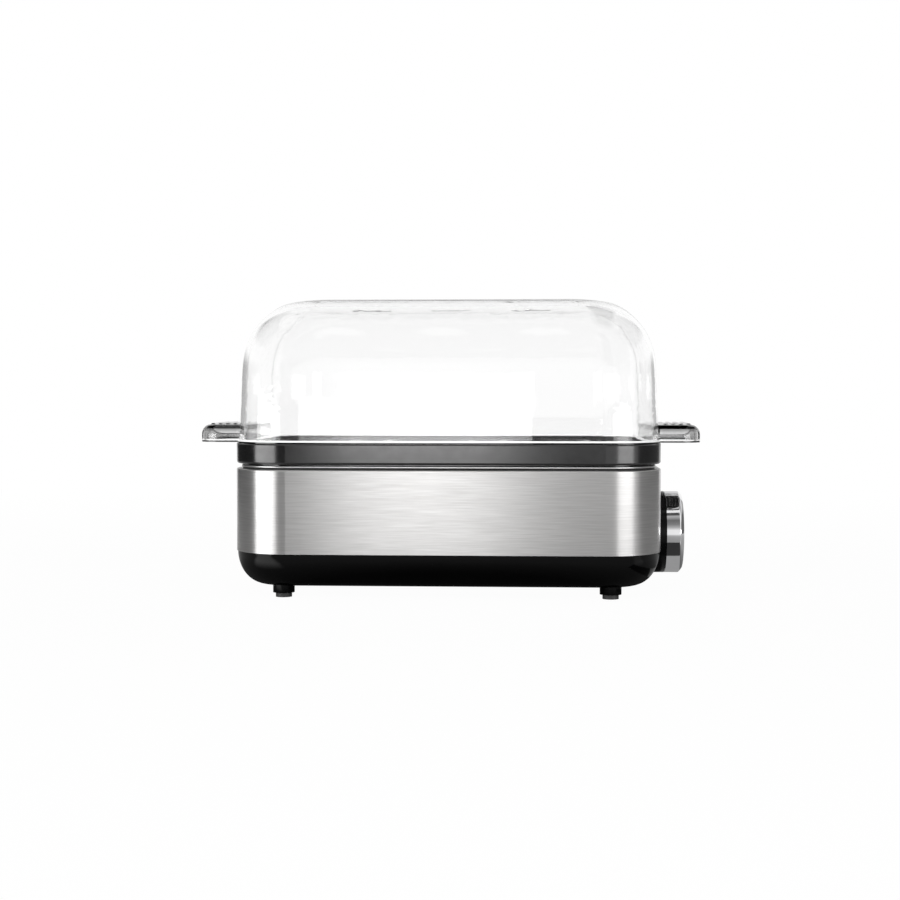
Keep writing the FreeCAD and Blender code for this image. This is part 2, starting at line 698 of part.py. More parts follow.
def make_egg_tray():
    body = new_body("egg_tray")
    ring = new_sketch(body, "ring", offset="tray_top")
    draw_body_outline(ring, "0")
    pad(body, ring, "ring_block", "tray_top - tray_bottom", down=True, taper="-tray_draft")
    fillet(body, "lower_edge", "tray_foot_edge", flat_at("tray_bottom"))
    step = new_sketch(body, "step", offset="tray_bottom")
    draw_body_outline(step, "tray_seat")
    pad(body, step, "seating_step", f"tray_bottom - ({RIM_TOP})", down=True)
    dish = new_sketch(body, "dish", offset="tray_top")
    draw_body_outline(dish, "tray_wall")
    pocket(body, dish, "dish_hollow", "tray_top - tray_floor")
    under = new_sketch(body, "under", offset=RIM_TOP)
    draw_body_outline(under, "tray_seat + tray_step")
    pocket(body, under, "under_hollow", f"tray_floor - tray_plate - ({RIM_TOP})", up=True)
    fillet(body, "upper_edge", "tray_edge", flat_at("tray_top"))
    cups = new_sketch(body, "cups", offset="tray_floor")
    beads = new_sketch(body, "beads", offset="tray_floor")
    bores = new_sketch(body, "bores", offset="tray_floor + seat_bead")
    for x, y in seat_places():
        draw_circle(cups, x, y, "seat_cup")
        draw_circle(beads, x, y, "bead_diameter")
        draw_circle(bores, x, y, "seat_diameter")
    pad(body, cups, "seat_cups", "tray_floor - seat_bottom", down=True, taper="-seat_slope")
    pad(body, beads, "seat_beads", "seat_bead")
    pocket(body, bores, "seat_bores", "tray_floor + seat_bead - seat_bottom", taper="-seat_slope")
    holes = new_sketch(body, "holes", offset="tray_floor")
    for i in range(-2, 3):
        draw_circle(holes, f"{i} * seat_pitch / 2", "0", "steam_hole")
    pocket(body, holes, "steam_holes", "tray_floor - seat_bottom")
    return body


# Bowl and what hangs under it

def make_heating_bowl():
    body = new_body("heating_bowl")
    dish = new_sketch(body, "dish", offset=BOWL_UNDER)
    sheets = "2 * bowl_sheet"
    draw_rounded(dish, f"bowl_length + {sheets}", f"bowl_width + {sheets}", "bowl_corner + bowl_sheet")
    pad(body, dish, "dish_block", f"{RIM_BOTTOM} - ({BOWL_UNDER})")
    rim = new_sketch(body, "rim", offset=RIM_BOTTOM)
    draw_body_outline(rim, "rim_inset")
    pad(body, rim, "rolled_rim", "rim_thickness")
    fillet(body, "rim_edges", "rim_round", is_rim_edge)
    hollow = new_sketch(body, "hollow", offset=RIM_TOP)
    draw_rounded(hollow, "bowl_length", "bowl_width", "bowl_corner")
    pocket(body, hollow, "bowl_hollow", f"{RIM_TOP} - bowl_floor")
    fillet(body, "floor_edge", "bowl_round", flat_at("bowl_floor"))
    fillet(body, "under_edge", "bowl_round + bowl_sheet", flat_at(BOWL_UNDER))
    studs = new_sketch(body, "studs", offset=BOWL_UNDER)
    draw_at_corners(studs, "stud_x", "stud_y", "stud_diameter")
    pad(body, studs, "welded_studs", f"{BOWL_UNDER} - stud_bottom", down=True)
    return body


def is_rim_edge(edge):
    """Whether an edge runs round the outside of the bowl's rim, above or below."""
    level = flat_at(RIM_TOP)(edge) or flat_at(RIM_BOTTOM)(edge)
    beside = max(abs(edge.XMin), abs(edge.XMax)) > number("bowl_length / 2 + 2 * bowl_sheet")
    before = max(abs(edge.YMin), abs(edge.YMax)) > number("bowl_width / 2 + 2 * bowl_sheet")
    return level and (beside or before)


def make_bowl_seal():
    body = new_body("bowl_seal")
    outline = new_sketch(body, "outline", offset="band_top")
    draw_body_outline(outline, "rim_inset + band_edge")
    draw_body_outline(outline, "rim_inset + band_edge + seal_width")
    pad(body, outline, "gasket", "seal_thickness")
    return body


def make_heater_plate():
    body = new_body("heater_plate")
    outline = new_sketch(body, "outline", offset=BOWL_UNDER)
    draw_rounded(outline, "plate_length", "plate_width", "plate_corner")
    pad(body, outline, "spreader", "plate_thickness", down=True)
    holes = new_sketch(body, "holes", offset=PLATE_UNDER)
    for side in SIDES:
        draw_circle(holes, times(side, "clamp_screw_x"), "0", "screw_diameter + play")
    pocket(body, holes, "screw_holes", "clamp_screw_grip + play", up=True)
    return body


def make_heating_element():
    """A tube along two straight runs joined by a half circle."""
    body = new_body("heating_element")
    path = new_sketch(body, "path", offset=TUBE_AXIS)
    right = number("run_right")
    left = number("run_left")
    run = number("run_y")
    near = Part.LineSegment(Vector(right, -run, 0), Vector(left, -run, 0))
    bend = Part.Arc(Vector(left, -run, 0), Vector(left - run, 0, 0), Vector(left, run, 0))
    far = Part.LineSegment(Vector(left, run, 0), Vector(right, run, 0))
    path.addGeometry([near, bend, far], False)
    place(path, 0, 1, "run_right", "-run_y")
    place(path, 0, 2, "run_left", "-run_y")
    place(path, 2, 1, "run_left", "run_y")
    place(path, 2, 2, "run_right", "run_y")
    for line, end in ((0, 2), (2, 1)):
        near_end = path.getPoint(1, 1).distanceToPoint(path.getPoint(line, end)) < 1e-6
        path.addConstraint(Sketcher.Constraint("Coincident", line, end, 1, 1 if near_end else 2))
    dimension(path, "DistanceX", "run_left", -1, 1, 1, 3)
    section = new_sketch(body, "section", role="YZ_Plane", offset="run_right", rise=TUBE_AXIS)
    draw_circle(section, "-run_y", "0", "tube_diameter")
    doc.recompute()
    pipe = add_feature(body, "AdditivePipe", "tube")
    pipe.Profile = section
    pipe.Spine = (path, ["Edge1", "Edge2", "Edge3"])
    doc.recompute()
    return body


def make_element_terminals():
    items = []
    for side in SIDES:
        name = f"terminal_{'front' if side < 0 else 'back'}"
        axis_y = times(side, "run_y")
        pin = cylinder(f"{name}_pin", "run_right", axis_y, TUBE_AXIS, "pin_diameter", "pin_length", ALONG_X)
        spade = box(
            f"{name}_spade",
            "run_right + pin_length",
            f"{axis_y} - spade_width / 2",
            f"{TUBE_AXIS} - spade_thickness / 2",
            "spade_length",
            "spade_width",
            "spade_thickness",
        )
        items.append(fuse(name, pin, spade))
    return group("element_terminals", items)


def make_thermal_cutout():
    can_top = f"{PLATE_UNDER} - cutout_flange_thickness"
    can_bottom = f"{can_top} - cutout_height"
    flange = cylinder("cutout_disc", "0", "0", can_top, "cutout_flange", "cutout_flange_thickness")
    can = cylinder("cutout_can", "0", "0", can_bottom, "cutout_diameter", "cutout_height")
    blades = box(
        "cutout_blades",
        "-cutout_diameter / 2 - spade_length",
        "-spade_width / 2",
        f"{can_bottom} + spade_thickness",
        "cutout_diameter + 2 * spade_length",
        "spade_width",
        "spade_thickness",
    )
    return fuse("thermal_cutout", flange, can, blades)


def make_cutout_bracket():
    body = new_body("cutout_bracket")
    outline = new_sketch(body, "outline", offset=PLATE_UNDER)
    draw_rounded(outline, "clamp_length", "clamp_width", "clamp_corner")
    pad(body, outline, "clamp", "clamp_thickness", down=True)
    seat = new_sketch(body, "seat", offset=PLATE_UNDER)
    draw_circle(seat, "0", "0", "cutout_flange + 4 * play")
    pocket(body, seat, "flange_seat", "cutout_flange_thickness")
    holes = new_sketch(body, "holes", offset=PLATE_UNDER)
    draw_circle(holes, "0", "0", "cutout_diameter + 4 * play")
    for side in SIDES:
        draw_circle(holes, times(side, "clamp_screw_x"), "0", "screw_diameter + play")
    pocket(body, holes, "through_holes", "clamp_thickness")
    return body


def make_cutout_screws():
    body = new_body("cutout_screws")
    clamp_under = f"{PLATE_UNDER} - clamp_thickness"
    heads = new_sketch(body, "heads", offset=clamp_under)
    shanks = new_sketch(body, "shanks", offset=clamp_under)
    sockets = new_sketch(body, "sockets", offset=f"{clamp_under} - screw_head_height")
    for side in SIDES:
        x = times(side, "clamp_screw_x")
        draw_circle(heads, x, "0", "screw_head")
        draw_circle(shanks, x, "0", "screw_diameter")
        draw_hexagon(sockets, x, "0", "screw_socket")
    pad(body, heads, "screw_heads", "screw_head_height", down=True)
    pad(body, shanks, "screw_shanks", "clamp_thickness + clamp_screw_grip")
    pocket(body, sockets, "screw_sockets", "screw_socket_depth", up=True)
    return body


def make_thermal_fuse():
    start = "fuse_x - fuse_length / 2"
    sleeve = cylinder("fuse_sleeve", start, "0", FUSE_AXIS, "fuse_diameter", "fuse_length", ALONG_X)
    wire = cylinder(
        "fuse_wires",
        f"{start} - fuse_wire_length",
        "0",
        FUSE_AXIS,
        "fuse_wire",
        "fuse_length + 2 * fuse_wire_length",
        ALONG_X,
    )
    return fuse("thermal_fuse", sleeve, wire)


def make_fuse_clip():
    """A saddle whose round-bottomed groove holds the fuse against the spreader."""
    start = "fuse_x - clip_length / 2"
    groove = "fuse_diameter + 2 * play"
    saddle = box(
        "clip_saddle",
        start,
        "-clip_width / 2",
        f"{PLATE_UNDER} - clip_height",
        "clip_length",
        "clip_width",
        "clip_height",
    )
    bed = cylinder("clip_bed", start, "0", FUSE_AXIS, groove, "clip_length", ALONG_X)
    mouth = box(
        "clip_mouth",
        start,
        f"-({groove}) / 2",
        FUSE_AXIS,
        "clip_length",
        groove,
        f"{PLATE_UNDER} - ({FUSE_AXIS})",
    )
    return cut("fuse_clip", saddle, bed, mouth)


def make_heat_shield():
    body = new_body("heat_shield")
    dish = new_sketch(body, "dish", offset=SHELF_UNDER)
    draw_rounded(dish, "shield_length", "shield_width", "shield_corner")
    pad(body, dish, "dish_block", f"{SHELF_UNDER} - shield_bottom", down=True)
    flange = new_sketch(body, "flange", offset=SHELF_UNDER)
    draw_rounded(flange, "shield_reach", "shield_width", "shield_corner")
    pad(body, flange, "end_flanges", "shield_sheet", down=True)
    hollow = new_sketch(body, "hollow", offset=SHELF_UNDER)
    draw_rounded(
        hollow,
        "shield_length - 2 * shield_sheet",
        "shield_width - 2 * shield_sheet",
        "shield_corner - shield_sheet",
    )
    pocket(body, hollow, "dish_hollow", f"{SHELF_UNDER} - shield_bottom - shield_sheet")
    holes = new_sketch(body, "holes", offset=SHELF_UNDER)
    draw_at_corners(holes, "stud_x", "stud_y", "stud_hole")
    pocket(body, holes, "stud_holes", "2 * shield_sheet")
    window = new_sketch(body, "window", role="YZ_Plane", offset="shield_length / 2")
    window_top = f"{SHELF_UNDER} - shield_sheet"
    draw_rectangle(
        window, "-window_width / 2", "window_width / 2", f"{window_top} - window_height", window_top
    )
    pocket(body, window, "lead_window", "2 * shield_sheet")
    return body


def make_stud_nuts():
    body = new_body("stud_nuts")
    top = f"{SHELF_UNDER} - shield_sheet"
    flats = new_sketch(body, "flats", offset=top)
    bores = new_sketch(body, "bores", offset=top)
    for side, end in CORNERS:
        draw_hexagon(flats, times(side, "stud_x"), times(end, "stud_y"), "nut_flats")
    draw_at_corners(bores, "stud_x", "stud_y", "stud_diameter + play")
    pad(body, flats, "hexagons", "nut_height", down=True)
    pocket(body, bores, "threads", "nut_height")
    return body


# Housing

def pan_loft(body, name, wall, kind):
    """Sections from the seam down to the underside, round a quarter of an ellipse."""
    levels = [("seam", "0")]
    for angle in ROUND_ANGLES:
        fall = f"(seam - pan_bottom - {wall}) * sin({angle} deg)"
        levels.append((f"seam - {fall}", f"(pan_round - {wall}) * (1 - cos({angle} deg))"))
    sketches = []
    for i, (height, inset) in enumerate(levels):
        sketch = new_sketch(body, f"{name}_section_{i}", offset=height)
        draw_body_outline(sketch, f"pan_inset + {wall} + {inset}")
        sketches.append(sketch)
    return loft(body, sketches, name, kind)


def make_base_pan():
    body = new_body("base_pan")
    inside = "pan_inset + pan_wall"
    pan_loft(body, "outside", "0", "AdditiveLoft")
    lip = new_sketch(body, "lip", offset="seam")
    draw_body_outline(lip, "band_sheet + pan_lip_gap")
    draw_body_outline(lip, inside)
    pad(body, lip, "locating_lip", "pan_lip_height")
    pan_loft(body, "inside", "pan_wall", "SubtractiveLoft")
    bosses = new_sketch(body, "bosses", offset="pad_thickness")
    draw_at_corners(bosses, "foot_x", "foot_y", "boss_diameter")
    pad(body, bosses, "foot_bosses", "pan_bottom + boss_root - pad_thickness")
    sockets = new_sketch(body, "sockets", offset="pad_thickness")
    draw_at_corners(sockets, "foot_x", "foot_y", "stem_diameter + play")
    pocket(body, sockets, "stem_sockets", "stem_length + play", up=True)
    posts = new_sketch(body, "posts", offset="pan_bottom + pan_post_root")
    draw_at_corners(posts, "post_x", "post_y", "pan_post_diameter")
    pad(body, posts, "screw_posts", f"{FRAME_BOTTOM} - pan_bottom - pan_post_root")
    sinks = new_sketch(body, "sinks", offset="pad_thickness")
    draw_at_corners(sinks, "post_x", "post_y", "sink_diameter")
    pocket(body, sinks, "head_recesses", "pan_bottom + sink_depth - pad_thickness", up=True)
    holes = new_sketch(body, "holes", offset="pan_bottom")
    draw_at_corners(holes, "post_x", "post_y", "screw_hole")
    pocket(body, holes, "screw_holes", f"{FRAME_BOTTOM} - pan_bottom", up=True)
    vents = new_sketch(body, "vents", offset="pan_bottom")
    for i in range(PAN_VENTS):
        middle = f"{i - PAN_VENTS // 2} * pan_vent_pitch"
        corner = slot_corner("pan_vent_width")
        draw_rounded(vents, "pan_vent_width", "pan_vent_length", corner, x=middle)
    pocket(body, vents, "cooling_slots", "pan_wall", up=True)
    cut_bezel_hole(body)
    gland = new_sketch(body, "gland", role="XZ_Plane", offset="-body_width / 2")
    draw_circle(gland, "gland_x", "gland_z", "gland_diameter + 4 * play")
    pocket(body, gland, "gland_hole", "body_width / 2 - gland_start", up=True)
    return body


def cut_bezel_hole(body):
    hole = new_sketch(body, "bezel_outline", role="YZ_Plane", offset="body_length / 2")
    draw_circle(hole, "0", "knob_height", "bezel_hole")
    pocket(body, hole, "bezel_hole", "body_length / 2 - bezel_cut")


def make_foot_pads():
    body = new_body("foot_pads")
    discs = new_sketch(body, "discs")
    draw_at_corners(discs, "foot_x", "foot_y", "pad_diameter")
    pad(body, discs, "pads", "pad_thickness")
    stems = new_sketch(body, "stems", offset="pad_thickness")
    draw_at_corners(stems, "foot_x", "foot_y", "stem_diameter")
    pad(body, stems, "pad_stems", "stem_length")
    return body


def make_base_screws():
    body = new_body("base_screws")
    seat = "pan_bottom + sink_depth"
    heads = new_sketch(body, "heads", offset=seat)
    draw_at_corners(heads, "post_x", "post_y", "screw_head")
    pad(body, heads, "screw_heads", "screw_head_height", down=True)
    shanks = new_sketch(body, "shanks", offset=seat)
    draw_at_corners(shanks, "post_x", "post_y", "screw_diameter")
    pad(body, shanks, "screw_shanks", f"{FRAME_BOTTOM} + screw_grip - ({seat})")
    sockets = new_sketch(body, "sockets", offset=f"{seat} - screw_head_height")
    for side, end in CORNERS:
        draw_hexagon(sockets, times(side, "post_x"), times(end, "post_y"), "screw_socket")
    pocket(body, sockets, "screw_sockets", "screw_socket_depth", up=True)
    return body


def make_steel_band():
    body = new_body("steel_band")
    outline = new_sketch(body, "outline", offset="seam")
    draw_body_outline(outline, "0")
    pad(body, outline, "band_block", "band_top - seam")
    fillet(body, "top_edge", "band_edge", flat_at("band_top"))
    hollow = new_sketch(body, "hollow", offset="seam")
    draw_body_outline(hollow, "band_sheet")
    pocket(body, hollow, "band_hollow", "band_top - seam - band_sheet", up=True)
    opening = new_sketch(body, "opening", offset="band_top")
    draw_body_outline(opening, "band_lip")
    pocket(body, opening, "lip_opening", "2 * band_sheet")
    cut_bezel_hole(body)
    return body


def make_inner_frame():
    body = new_body("inner_frame")
    outside = "band_sheet + frame_gap"
    inside = f"{outside} + frame_wall"
    top = "band_top - band_sheet"
    walls = new_sketch(body, "walls", offset=FRAME_BOTTOM)
    draw_body_outline(walls, outside)
    draw_body_outline(walls, inside)
    pad(body, walls, "frame_walls", f"{top} - ({FRAME_BOTTOM})")
    shelf = new_sketch(body, "shelf", offset=SHELF_UNDER)
    draw_body_outline(shelf, f"{outside} + frame_wall / 2")
    draw_rounded(shelf, "shelf_opening_length", "shelf_opening_width", "shelf_corner")
    pad(body, shelf, "frame_shelf", "shelf_thickness")
    posts = new_sketch(body, "posts", offset=SHELF_UNDER)
    draw_at_corners(posts, "post_x", "post_y", "frame_post_diameter")
    pad(body, posts, "screw_posts", f"{SHELF_UNDER} - ({FRAME_BOTTOM})", down=True)
    pilots = new_sketch(body, "pilots", offset=FRAME_BOTTOM)
    draw_at_corners(pilots, "post_x", "post_y", "screw_diameter + play")
    pocket(body, pilots, "pilot_holes", "screw_grip + play", up=True)
    holes = new_sketch(body, "holes", offset="shelf_top")
    draw_at_corners(holes, "stud_x", "stud_y", "stud_hole")
    pocket(body, holes, "stud_holes", "shelf_thickness")
    notch = new_sketch(body, "notch", offset="shelf_top")
    draw_rectangle(
        notch,
        "shelf_notch",
        f"body_length / 2 - ({inside})",
        "-shelf_notch_width / 2",
        "shelf_notch_width / 2",
    )
    pocket(body, notch, "bezel_notch", "shelf_thickness")
    cut_bezel_hole(body)
    return body


# Knob and control

def knob_sketch(body, name, offset):
    """A sketch square to the knob's axis, with the axis at its origin."""
    return new_sketch(body, name, role="YZ_Plane", offset=offset, rise="knob_height")


def make_knob_bezel():
    body = new_body("knob_bezel")
    inner_face = "body_length / 2 - band_sheet - frame_gap - frame_wall"
    skirt = knob_sketch(body, "skirt", "bezel_skirt")
    draw_circle(skirt, "0", "0", "bezel_diameter")
    pad(body, skirt, "skirt_block", "bezel_back - bezel_skirt")
    upper_half = knob_sketch(body, "upper_half", "bezel_back")
    draw_rectangle(upper_half, "-bezel_flange", "bezel_flange", "0", "bezel_flange")
    pocket(body, upper_half, "skirt_trim", "bezel_back - bezel_skirt")
    flange = knob_sketch(body, "flange", inner_face)
    draw_circle(flange, "0", "0", "bezel_flange")
    pad(body, flange, "inner_flange", "bezel_flange_thickness", down=True)
    trim = knob_sketch(body, "trim", inner_face)
    trim_top = "bezel_flange_bottom - knob_height"
    draw_rectangle(trim, "-bezel_flange", "bezel_flange", "-bezel_flange", trim_top)
    pocket(body, trim, "flange_trim", "bezel_flange_thickness")
    barrel = knob_sketch(body, "barrel", "bezel_back")
    draw_circle(barrel, "0", "0", "bezel_diameter")
    pad(body, barrel, "barrel_block", "bezel_front - bezel_back")
    hollow = knob_sketch(body, "hollow", "bezel_skirt")
    draw_circle(hollow, "0", "0", "bezel_diameter - 2 * bezel_wall")
    pocket(body, hollow, "barrel_hollow", "bezel_front - bezel_skirt - bezel_wall", up=True)
    bore = knob_sketch(body, "bore", "bezel_front")
    draw_circle(bore, "0", "0", "bezel_bore")
    pocket(body, bore, "face_bore", "bezel_wall")
    posts = knob_sketch(body, "posts", BOARD_FRONT)
    pilots = knob_sketch(body, "pilots", BOARD_FRONT)
    for side in SIDES:
        draw_circle(posts, times(side, "board_post_y"), "0", "board_post_diameter")
        draw_circle(pilots, times(side, "board_post_y"), "0", "board_screw + play")
    pad(body, posts, "board_posts", f"bezel_front - bezel_wall - ({BOARD_FRONT})")
    pocket(body, pilots, "pilot_holes", "board_screw_grip + play", up=True)
    return body


def make_knob_cap():
    body = new_body("knob_cap")
    profile = new_sketch(body, "profile", role="XZ_Plane", rise="knob_height")
    outer = "knob_diameter / 2"
    draw_polygon(
        profile,
        (
            ("knob_front", "0"),
            ("knob_front - knob_dish", f"{outer} - knob_bevel"),
            (CAP_INSIDE, outer),
            ("knob_back", outer),
            ("knob_back", f"{outer} - knob_skin"),
            (CAP_INSIDE, f"{outer} - knob_skin"),
            (CAP_INSIDE, "0"),
        ),
    )
    revolve(body, profile, "cap", "H_Axis")
    fillet(body, "bevel_edges", "knob_round", is_bevel_edge)
    return body


def is_bevel_edge(edge):
    """Whether an edge is one of the two circles at the ends of the knob's bevel."""
    circles = (
        ("knob_front - knob_dish", "knob_diameter - 2 * knob_bevel"),
        (CAP_INSIDE, "knob_diameter"),
    )
    return any(
        edge.XLength < 1e-4
        and abs(edge.XMin - number(place)) < 1e-4
        and abs(edge.YLength - number(across)) < 1e-4
        for place, across in circles
    )


def make_knob_hub():
    body = new_body("knob_hub")
    disc_back = "knob_back + 4 * play"
    disc = knob_sketch(body, "disc", disc_back)
    draw_circle(disc, "0", "0", "knob_diameter - 2 * knob_skin - 4 * play")
    pad(body, disc, "core_disc", f"{CAP_INSIDE} - ({disc_back})")
    boss = knob_sketch(body, "boss", "hub_back")
    draw_circle(boss, "0", "0", "hub_diameter")
    pad(body, boss, "core_boss", f"{disc_back} - hub_back")
    bore = knob_sketch(body, "bore", "hub_back")
    draw_d_shape(bore, "shaft_diameter + play", "flat_offset + play / 2")
    pocket(body, bore, "shaft_bore", "shaft_end + play - hub_back", up=True)
    return body


def make_control_shaft():
    body = new_body("control_shaft")
    shank = knob_sketch(body, "shank", "shaft_start")
    draw_circle(shank, "0", "0", "shaft_diameter")
    pad(body, shank, "round_shank", "flat_start - shaft_start")
    tip = knob_sketch(body, "tip", "flat_start")
    draw_d_shape(tip, "shaft_diameter", "flat_offset")
    pad(body, tip, "flatted_tip", "shaft_end - flat_start")
    return body


def make_control_pot():
    case = box(
        "pot_case",
        BOARD_FRONT,
        "-pot_side / 2",
        "knob_height - pot_side / 2",
        "pot_depth",
        "pot_side",
        "pot_side",
    )
    bush = cylinder(
        "pot_bush", f"{BOARD_FRONT} + pot_depth", "0", "knob_height", "bush_diameter", "bush_length", ALONG_X
    )
    bore_start = "shaft_start - 2 * play"
    bore = cylinder(
        "pot_bore",
        bore_start,
        "0",
        "knob_height",
        "shaft_diameter + play",
        f"{BOARD_FRONT} + pot_depth + bush_length - ({bore_start})",
        ALONG_X,
    )
    return cut("control_pot", fuse("pot_block", case, bush), bore)


def make_control_board():
    board = box(
        "board_blank",
        "board_x",
        "-board_width / 2",
        "board_bottom",
        "board_thickness",
        "board_width",
        "board_top - board_bottom",
    )
    holes = [
        cylinder(
            f"board_hole_{i}",
            "board_x",
            times(side, "board_post_y"),
            "knob_height",
            "board_screw + 2 * play",
            "board_thickness",
            ALONG_X,
        )
        for i, side in enumerate(SIDES)
    ]
    return cut("control_board", board, *holes)


def make_board_screws():
    screws = []
    for i, side in enumerate(SIDES):
        y = times(side, "board_post_y")
        head = cylinder(
            f"board_screw_head_{i}",
            "board_x - screw_head_height",
            y,
            "knob_height",
            "board_screw_head",
            "screw_head_height",
            ALONG_X,
        )
        shank = cylinder(
            f"board_screw_shank_{i}",
            "board_x",
            y,
            "knob_height",
            "board_screw",
            "board_thickness + board_screw_grip",
            ALONG_X,
        )
        screws.append(fuse(f"board_screw_{i}", head, shank))
    return group("board_screws", screws)


def make_relay():
    return box(
        "relay",
        "board_x - relay_depth",
        "-relay_width / 2",
        "relay_bottom",
        "relay_depth",
        "relay_width",
        "relay_height",
    )


def make_capacitor():
    return box(
        "capacitor",
        "board_x - capacitor_depth",
        "capacitor_y",
        "capacitor_bottom",
        "capacitor_depth",
        "capacitor_width",
        "capacitor_height",
    )


def make_buzzer():
    centre = ("board_x - buzzer_depth", "buzzer_y", "buzzer_z")
    can = cylinder("buzzer_can", *centre, "buzzer_diameter", "buzzer_depth", ALONG_X)
    mouth = cylinder("buzzer_hole", *centre, "buzzer_mouth", "buzzer_depth / 2", ALONG_X)
    return cut("buzzer", can, mouth)


# Mains side

def make_cord_gland():
    body = new_body("cord_gland")
    inner_end = "-gland_start"
    flange = new_sketch(body, "flange", role="XZ_Plane", offset=inner_end)
    draw_circle(flange, "gland_x", "gland_z", "gland_flange")
    pad(body, flange, "inner_flange", "gland_flange_thickness", down=True)
    trim = new_sketch(body, "trim", role="XZ_Plane", offset=inner_end)
    draw_rectangle(trim, "gland_x - gland_flange", "gland_x + gland_flange", "0", "gland_flange_bottom")
    pocket(body, trim, "flange_trim", "gland_flange_thickness")
    barrel = new_sketch(body, "barrel", role="XZ_Plane", offset=inner_end)
    draw_circle(barrel, "gland_x", "gland_z", "gland_diameter")
    pad(body, barrel, "gland_barrel", "body_width / 2 - pan_inset - gland_start", down=True)
    bore = new_sketch(body, "bore", role="XZ_Plane", offset=inner_end)
    draw_circle(bore, "gland_x", "gland_z", "gland_bore")
    pocket(body, bore, "cord_bore", "body_width / 2 - pan_inset - gland_start")
    return body


def make_terminal_block():
    block_top = f"{PAN_FLOOR} + block_height"
    block = box(
        "block_blank",
        "gland_x - block_length / 2",
        "block_y",
        PAN_FLOOR,
        "block_length",
        "block_width",
        "block_height",
    )
    tools = []
    for i in range(3):
        x = f"gland_x + {i - 1} * block_pitch"
        well = (x, "block_y + block_width / 2", f"{block_top} - block_well_depth")
        hole = (x, "block_y", "lead_z")
        tools.append(cylinder(f"block_well_{i}", *well, "block_well", "block_well_depth"))
        tools.append(cylinder(f"block_hole_{i}", *hole, "block_hole", "block_width", ALONG_Y))
    return cut("terminal_block", block, *tools)


def make_lead(name, route):
    """A round lead along straight runs joined by tangent arcs as large as the runs allow."""
    points = [Vector(*(number(text) for text in place)) for place in route]
    edges = []
    start = points[0]
    for i in range(1, len(points) - 1):
        before = points[i] - points[i - 1]
        after = points[i + 1] - points[i]
        trim = BEND_SHARE * min(before.Length, after.Length)
        before.normalize()
        after.normalize()
        enter = points[i] - before * trim
        leave = points[i] + after * trim
        turn = before.getAngle(after)
        radius = trim / math.tan(turn / 2)
        inwards = after - before
        inwards.normalize()
        centre = points[i] + inwards * (radius / math.cos(turn / 2))
        edges.append(Part.LineSegment(start, enter).toShape())
        edges.append(Part.Arc(enter, centre - inwards * radius, leave).toShape())
        start = leave
    edges.append(Part.LineSegment(start, points[-1]).toShape())
    spine = Part.Wire(edges)
    radius = number("lead_diameter") / 2
    section = Part.Wire([Part.Circle(points[0], points[1] - points[0], radius).toShape()])
    lead = doc.addObject("Part::Feature", name)
    lead.Shape = spine.makePipeShell([section], True, False)
    lead.Placement = FreeCAD.Placement()
    expected = math.pi * radius**2 * spine.Length
    if not math.isclose(lead.Shape.Volume, expected, rel_tol=0.01):
        raise RuntimeError(f"{name} has the wrong volume")
    return lead


def make_heater_leads():
    leads = []
    for i, side in enumerate(SIDES):
        y = times(side, "run_y")
        route = (
            ("run_right + pin_length + spade_length", y, TUBE_AXIS),
            ("heater_lead_x", y, TUBE_AXIS),
            ("heater_lead_x", y, "heater_lead_z"),
            ("board_x", y, "heater_lead_z"),
        )
        leads.append(make_lead(f"heater_lead_{i}", route))
    return group("heater_leads", leads)


def make_mains_leads():
    leads = []
    for i in range(2):
        x = f"gland_x + {i} * block_pitch"
        y = f"mains_lead_y + {i} * mains_lead_pitch"
        route = (
            (x, "block_y + block_width / 4", "lead_z"),
            (x, y, "lead_z"),
            ("board_x", y, "lead_z"),
        )
        leads.append(make_lead(f"mains_lead_{i}", route))
    return group("mains_leads", leads)


def make_earth_lead():
    """From the left terminal along the pan to the end of a stud under the bowl."""
    x = "gland_x - block_pitch"
    route = (
        (x, "block_y + block_width / 4", "lead_z"),
        (x, "-mains_lead_pitch", "lead_z"),
        ("-run_right", "-mains_lead_pitch", "lead_z"),
        ("-stud_x", "-stud_y", "lead_z"),
        ("-stud_x", "-stud_y", "stud_bottom"),
    )
    return make_lead("earth_lead", route)


MAKERS = (
    make_lid,
    make_egg_tray,
    make_heating_bowl,
    make_bowl_seal,
    make_heater_plate,
    make_heating_element,
    make_element_terminals,
    make_thermal_cutout,
    make_cutout_bracket,
    make_cutout_screws,
    make_thermal_fuse,
    make_fuse_clip,
    make_heat_shield,
    make_stud_nuts,
    make_base_pan,
    make_foot_pads,
    make_base_screws,
    make_steel_band,
    make_inner_frame,
    make_knob_bezel,
    make_knob_cap,
    make_knob_hub,
    make_control_shaft,
    make_control_pot,
    make_control_board,
    make_board_screws,
    make_relay,
    make_capacitor,
    make_buzzer,
    make_cord_gland,
    make_terminal_block,
    make_heater_leads,
    make_mains_leads,
    make_earth_lead,
)

sub_parts = [make() for make in MAKERS]
doc.recompute()
for item in doc.Objects:
    if "Invalid" in item.State or "Error" in item.State:
        raise RuntimeError(f"{item.Name} failed: {item.State}")
for item in sub_parts:
    if item.Shape.isNull() or not item.Shape.isValid():
        raise RuntimeError(f"{item.Label} has no valid shape")

os.makedirs("parts", exist_ok=True)
for item in sub_parts:
    item.Shape.exportStep(f"parts/{item.Label}.step")
    print(f"{item.Label}: {len(item.Shape.Solids)} solids, {item.Shape.Volume:.0f} cubic mm")
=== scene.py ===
import json
import math

import bmesh
import bpy
from mathutils import Matrix, Vector


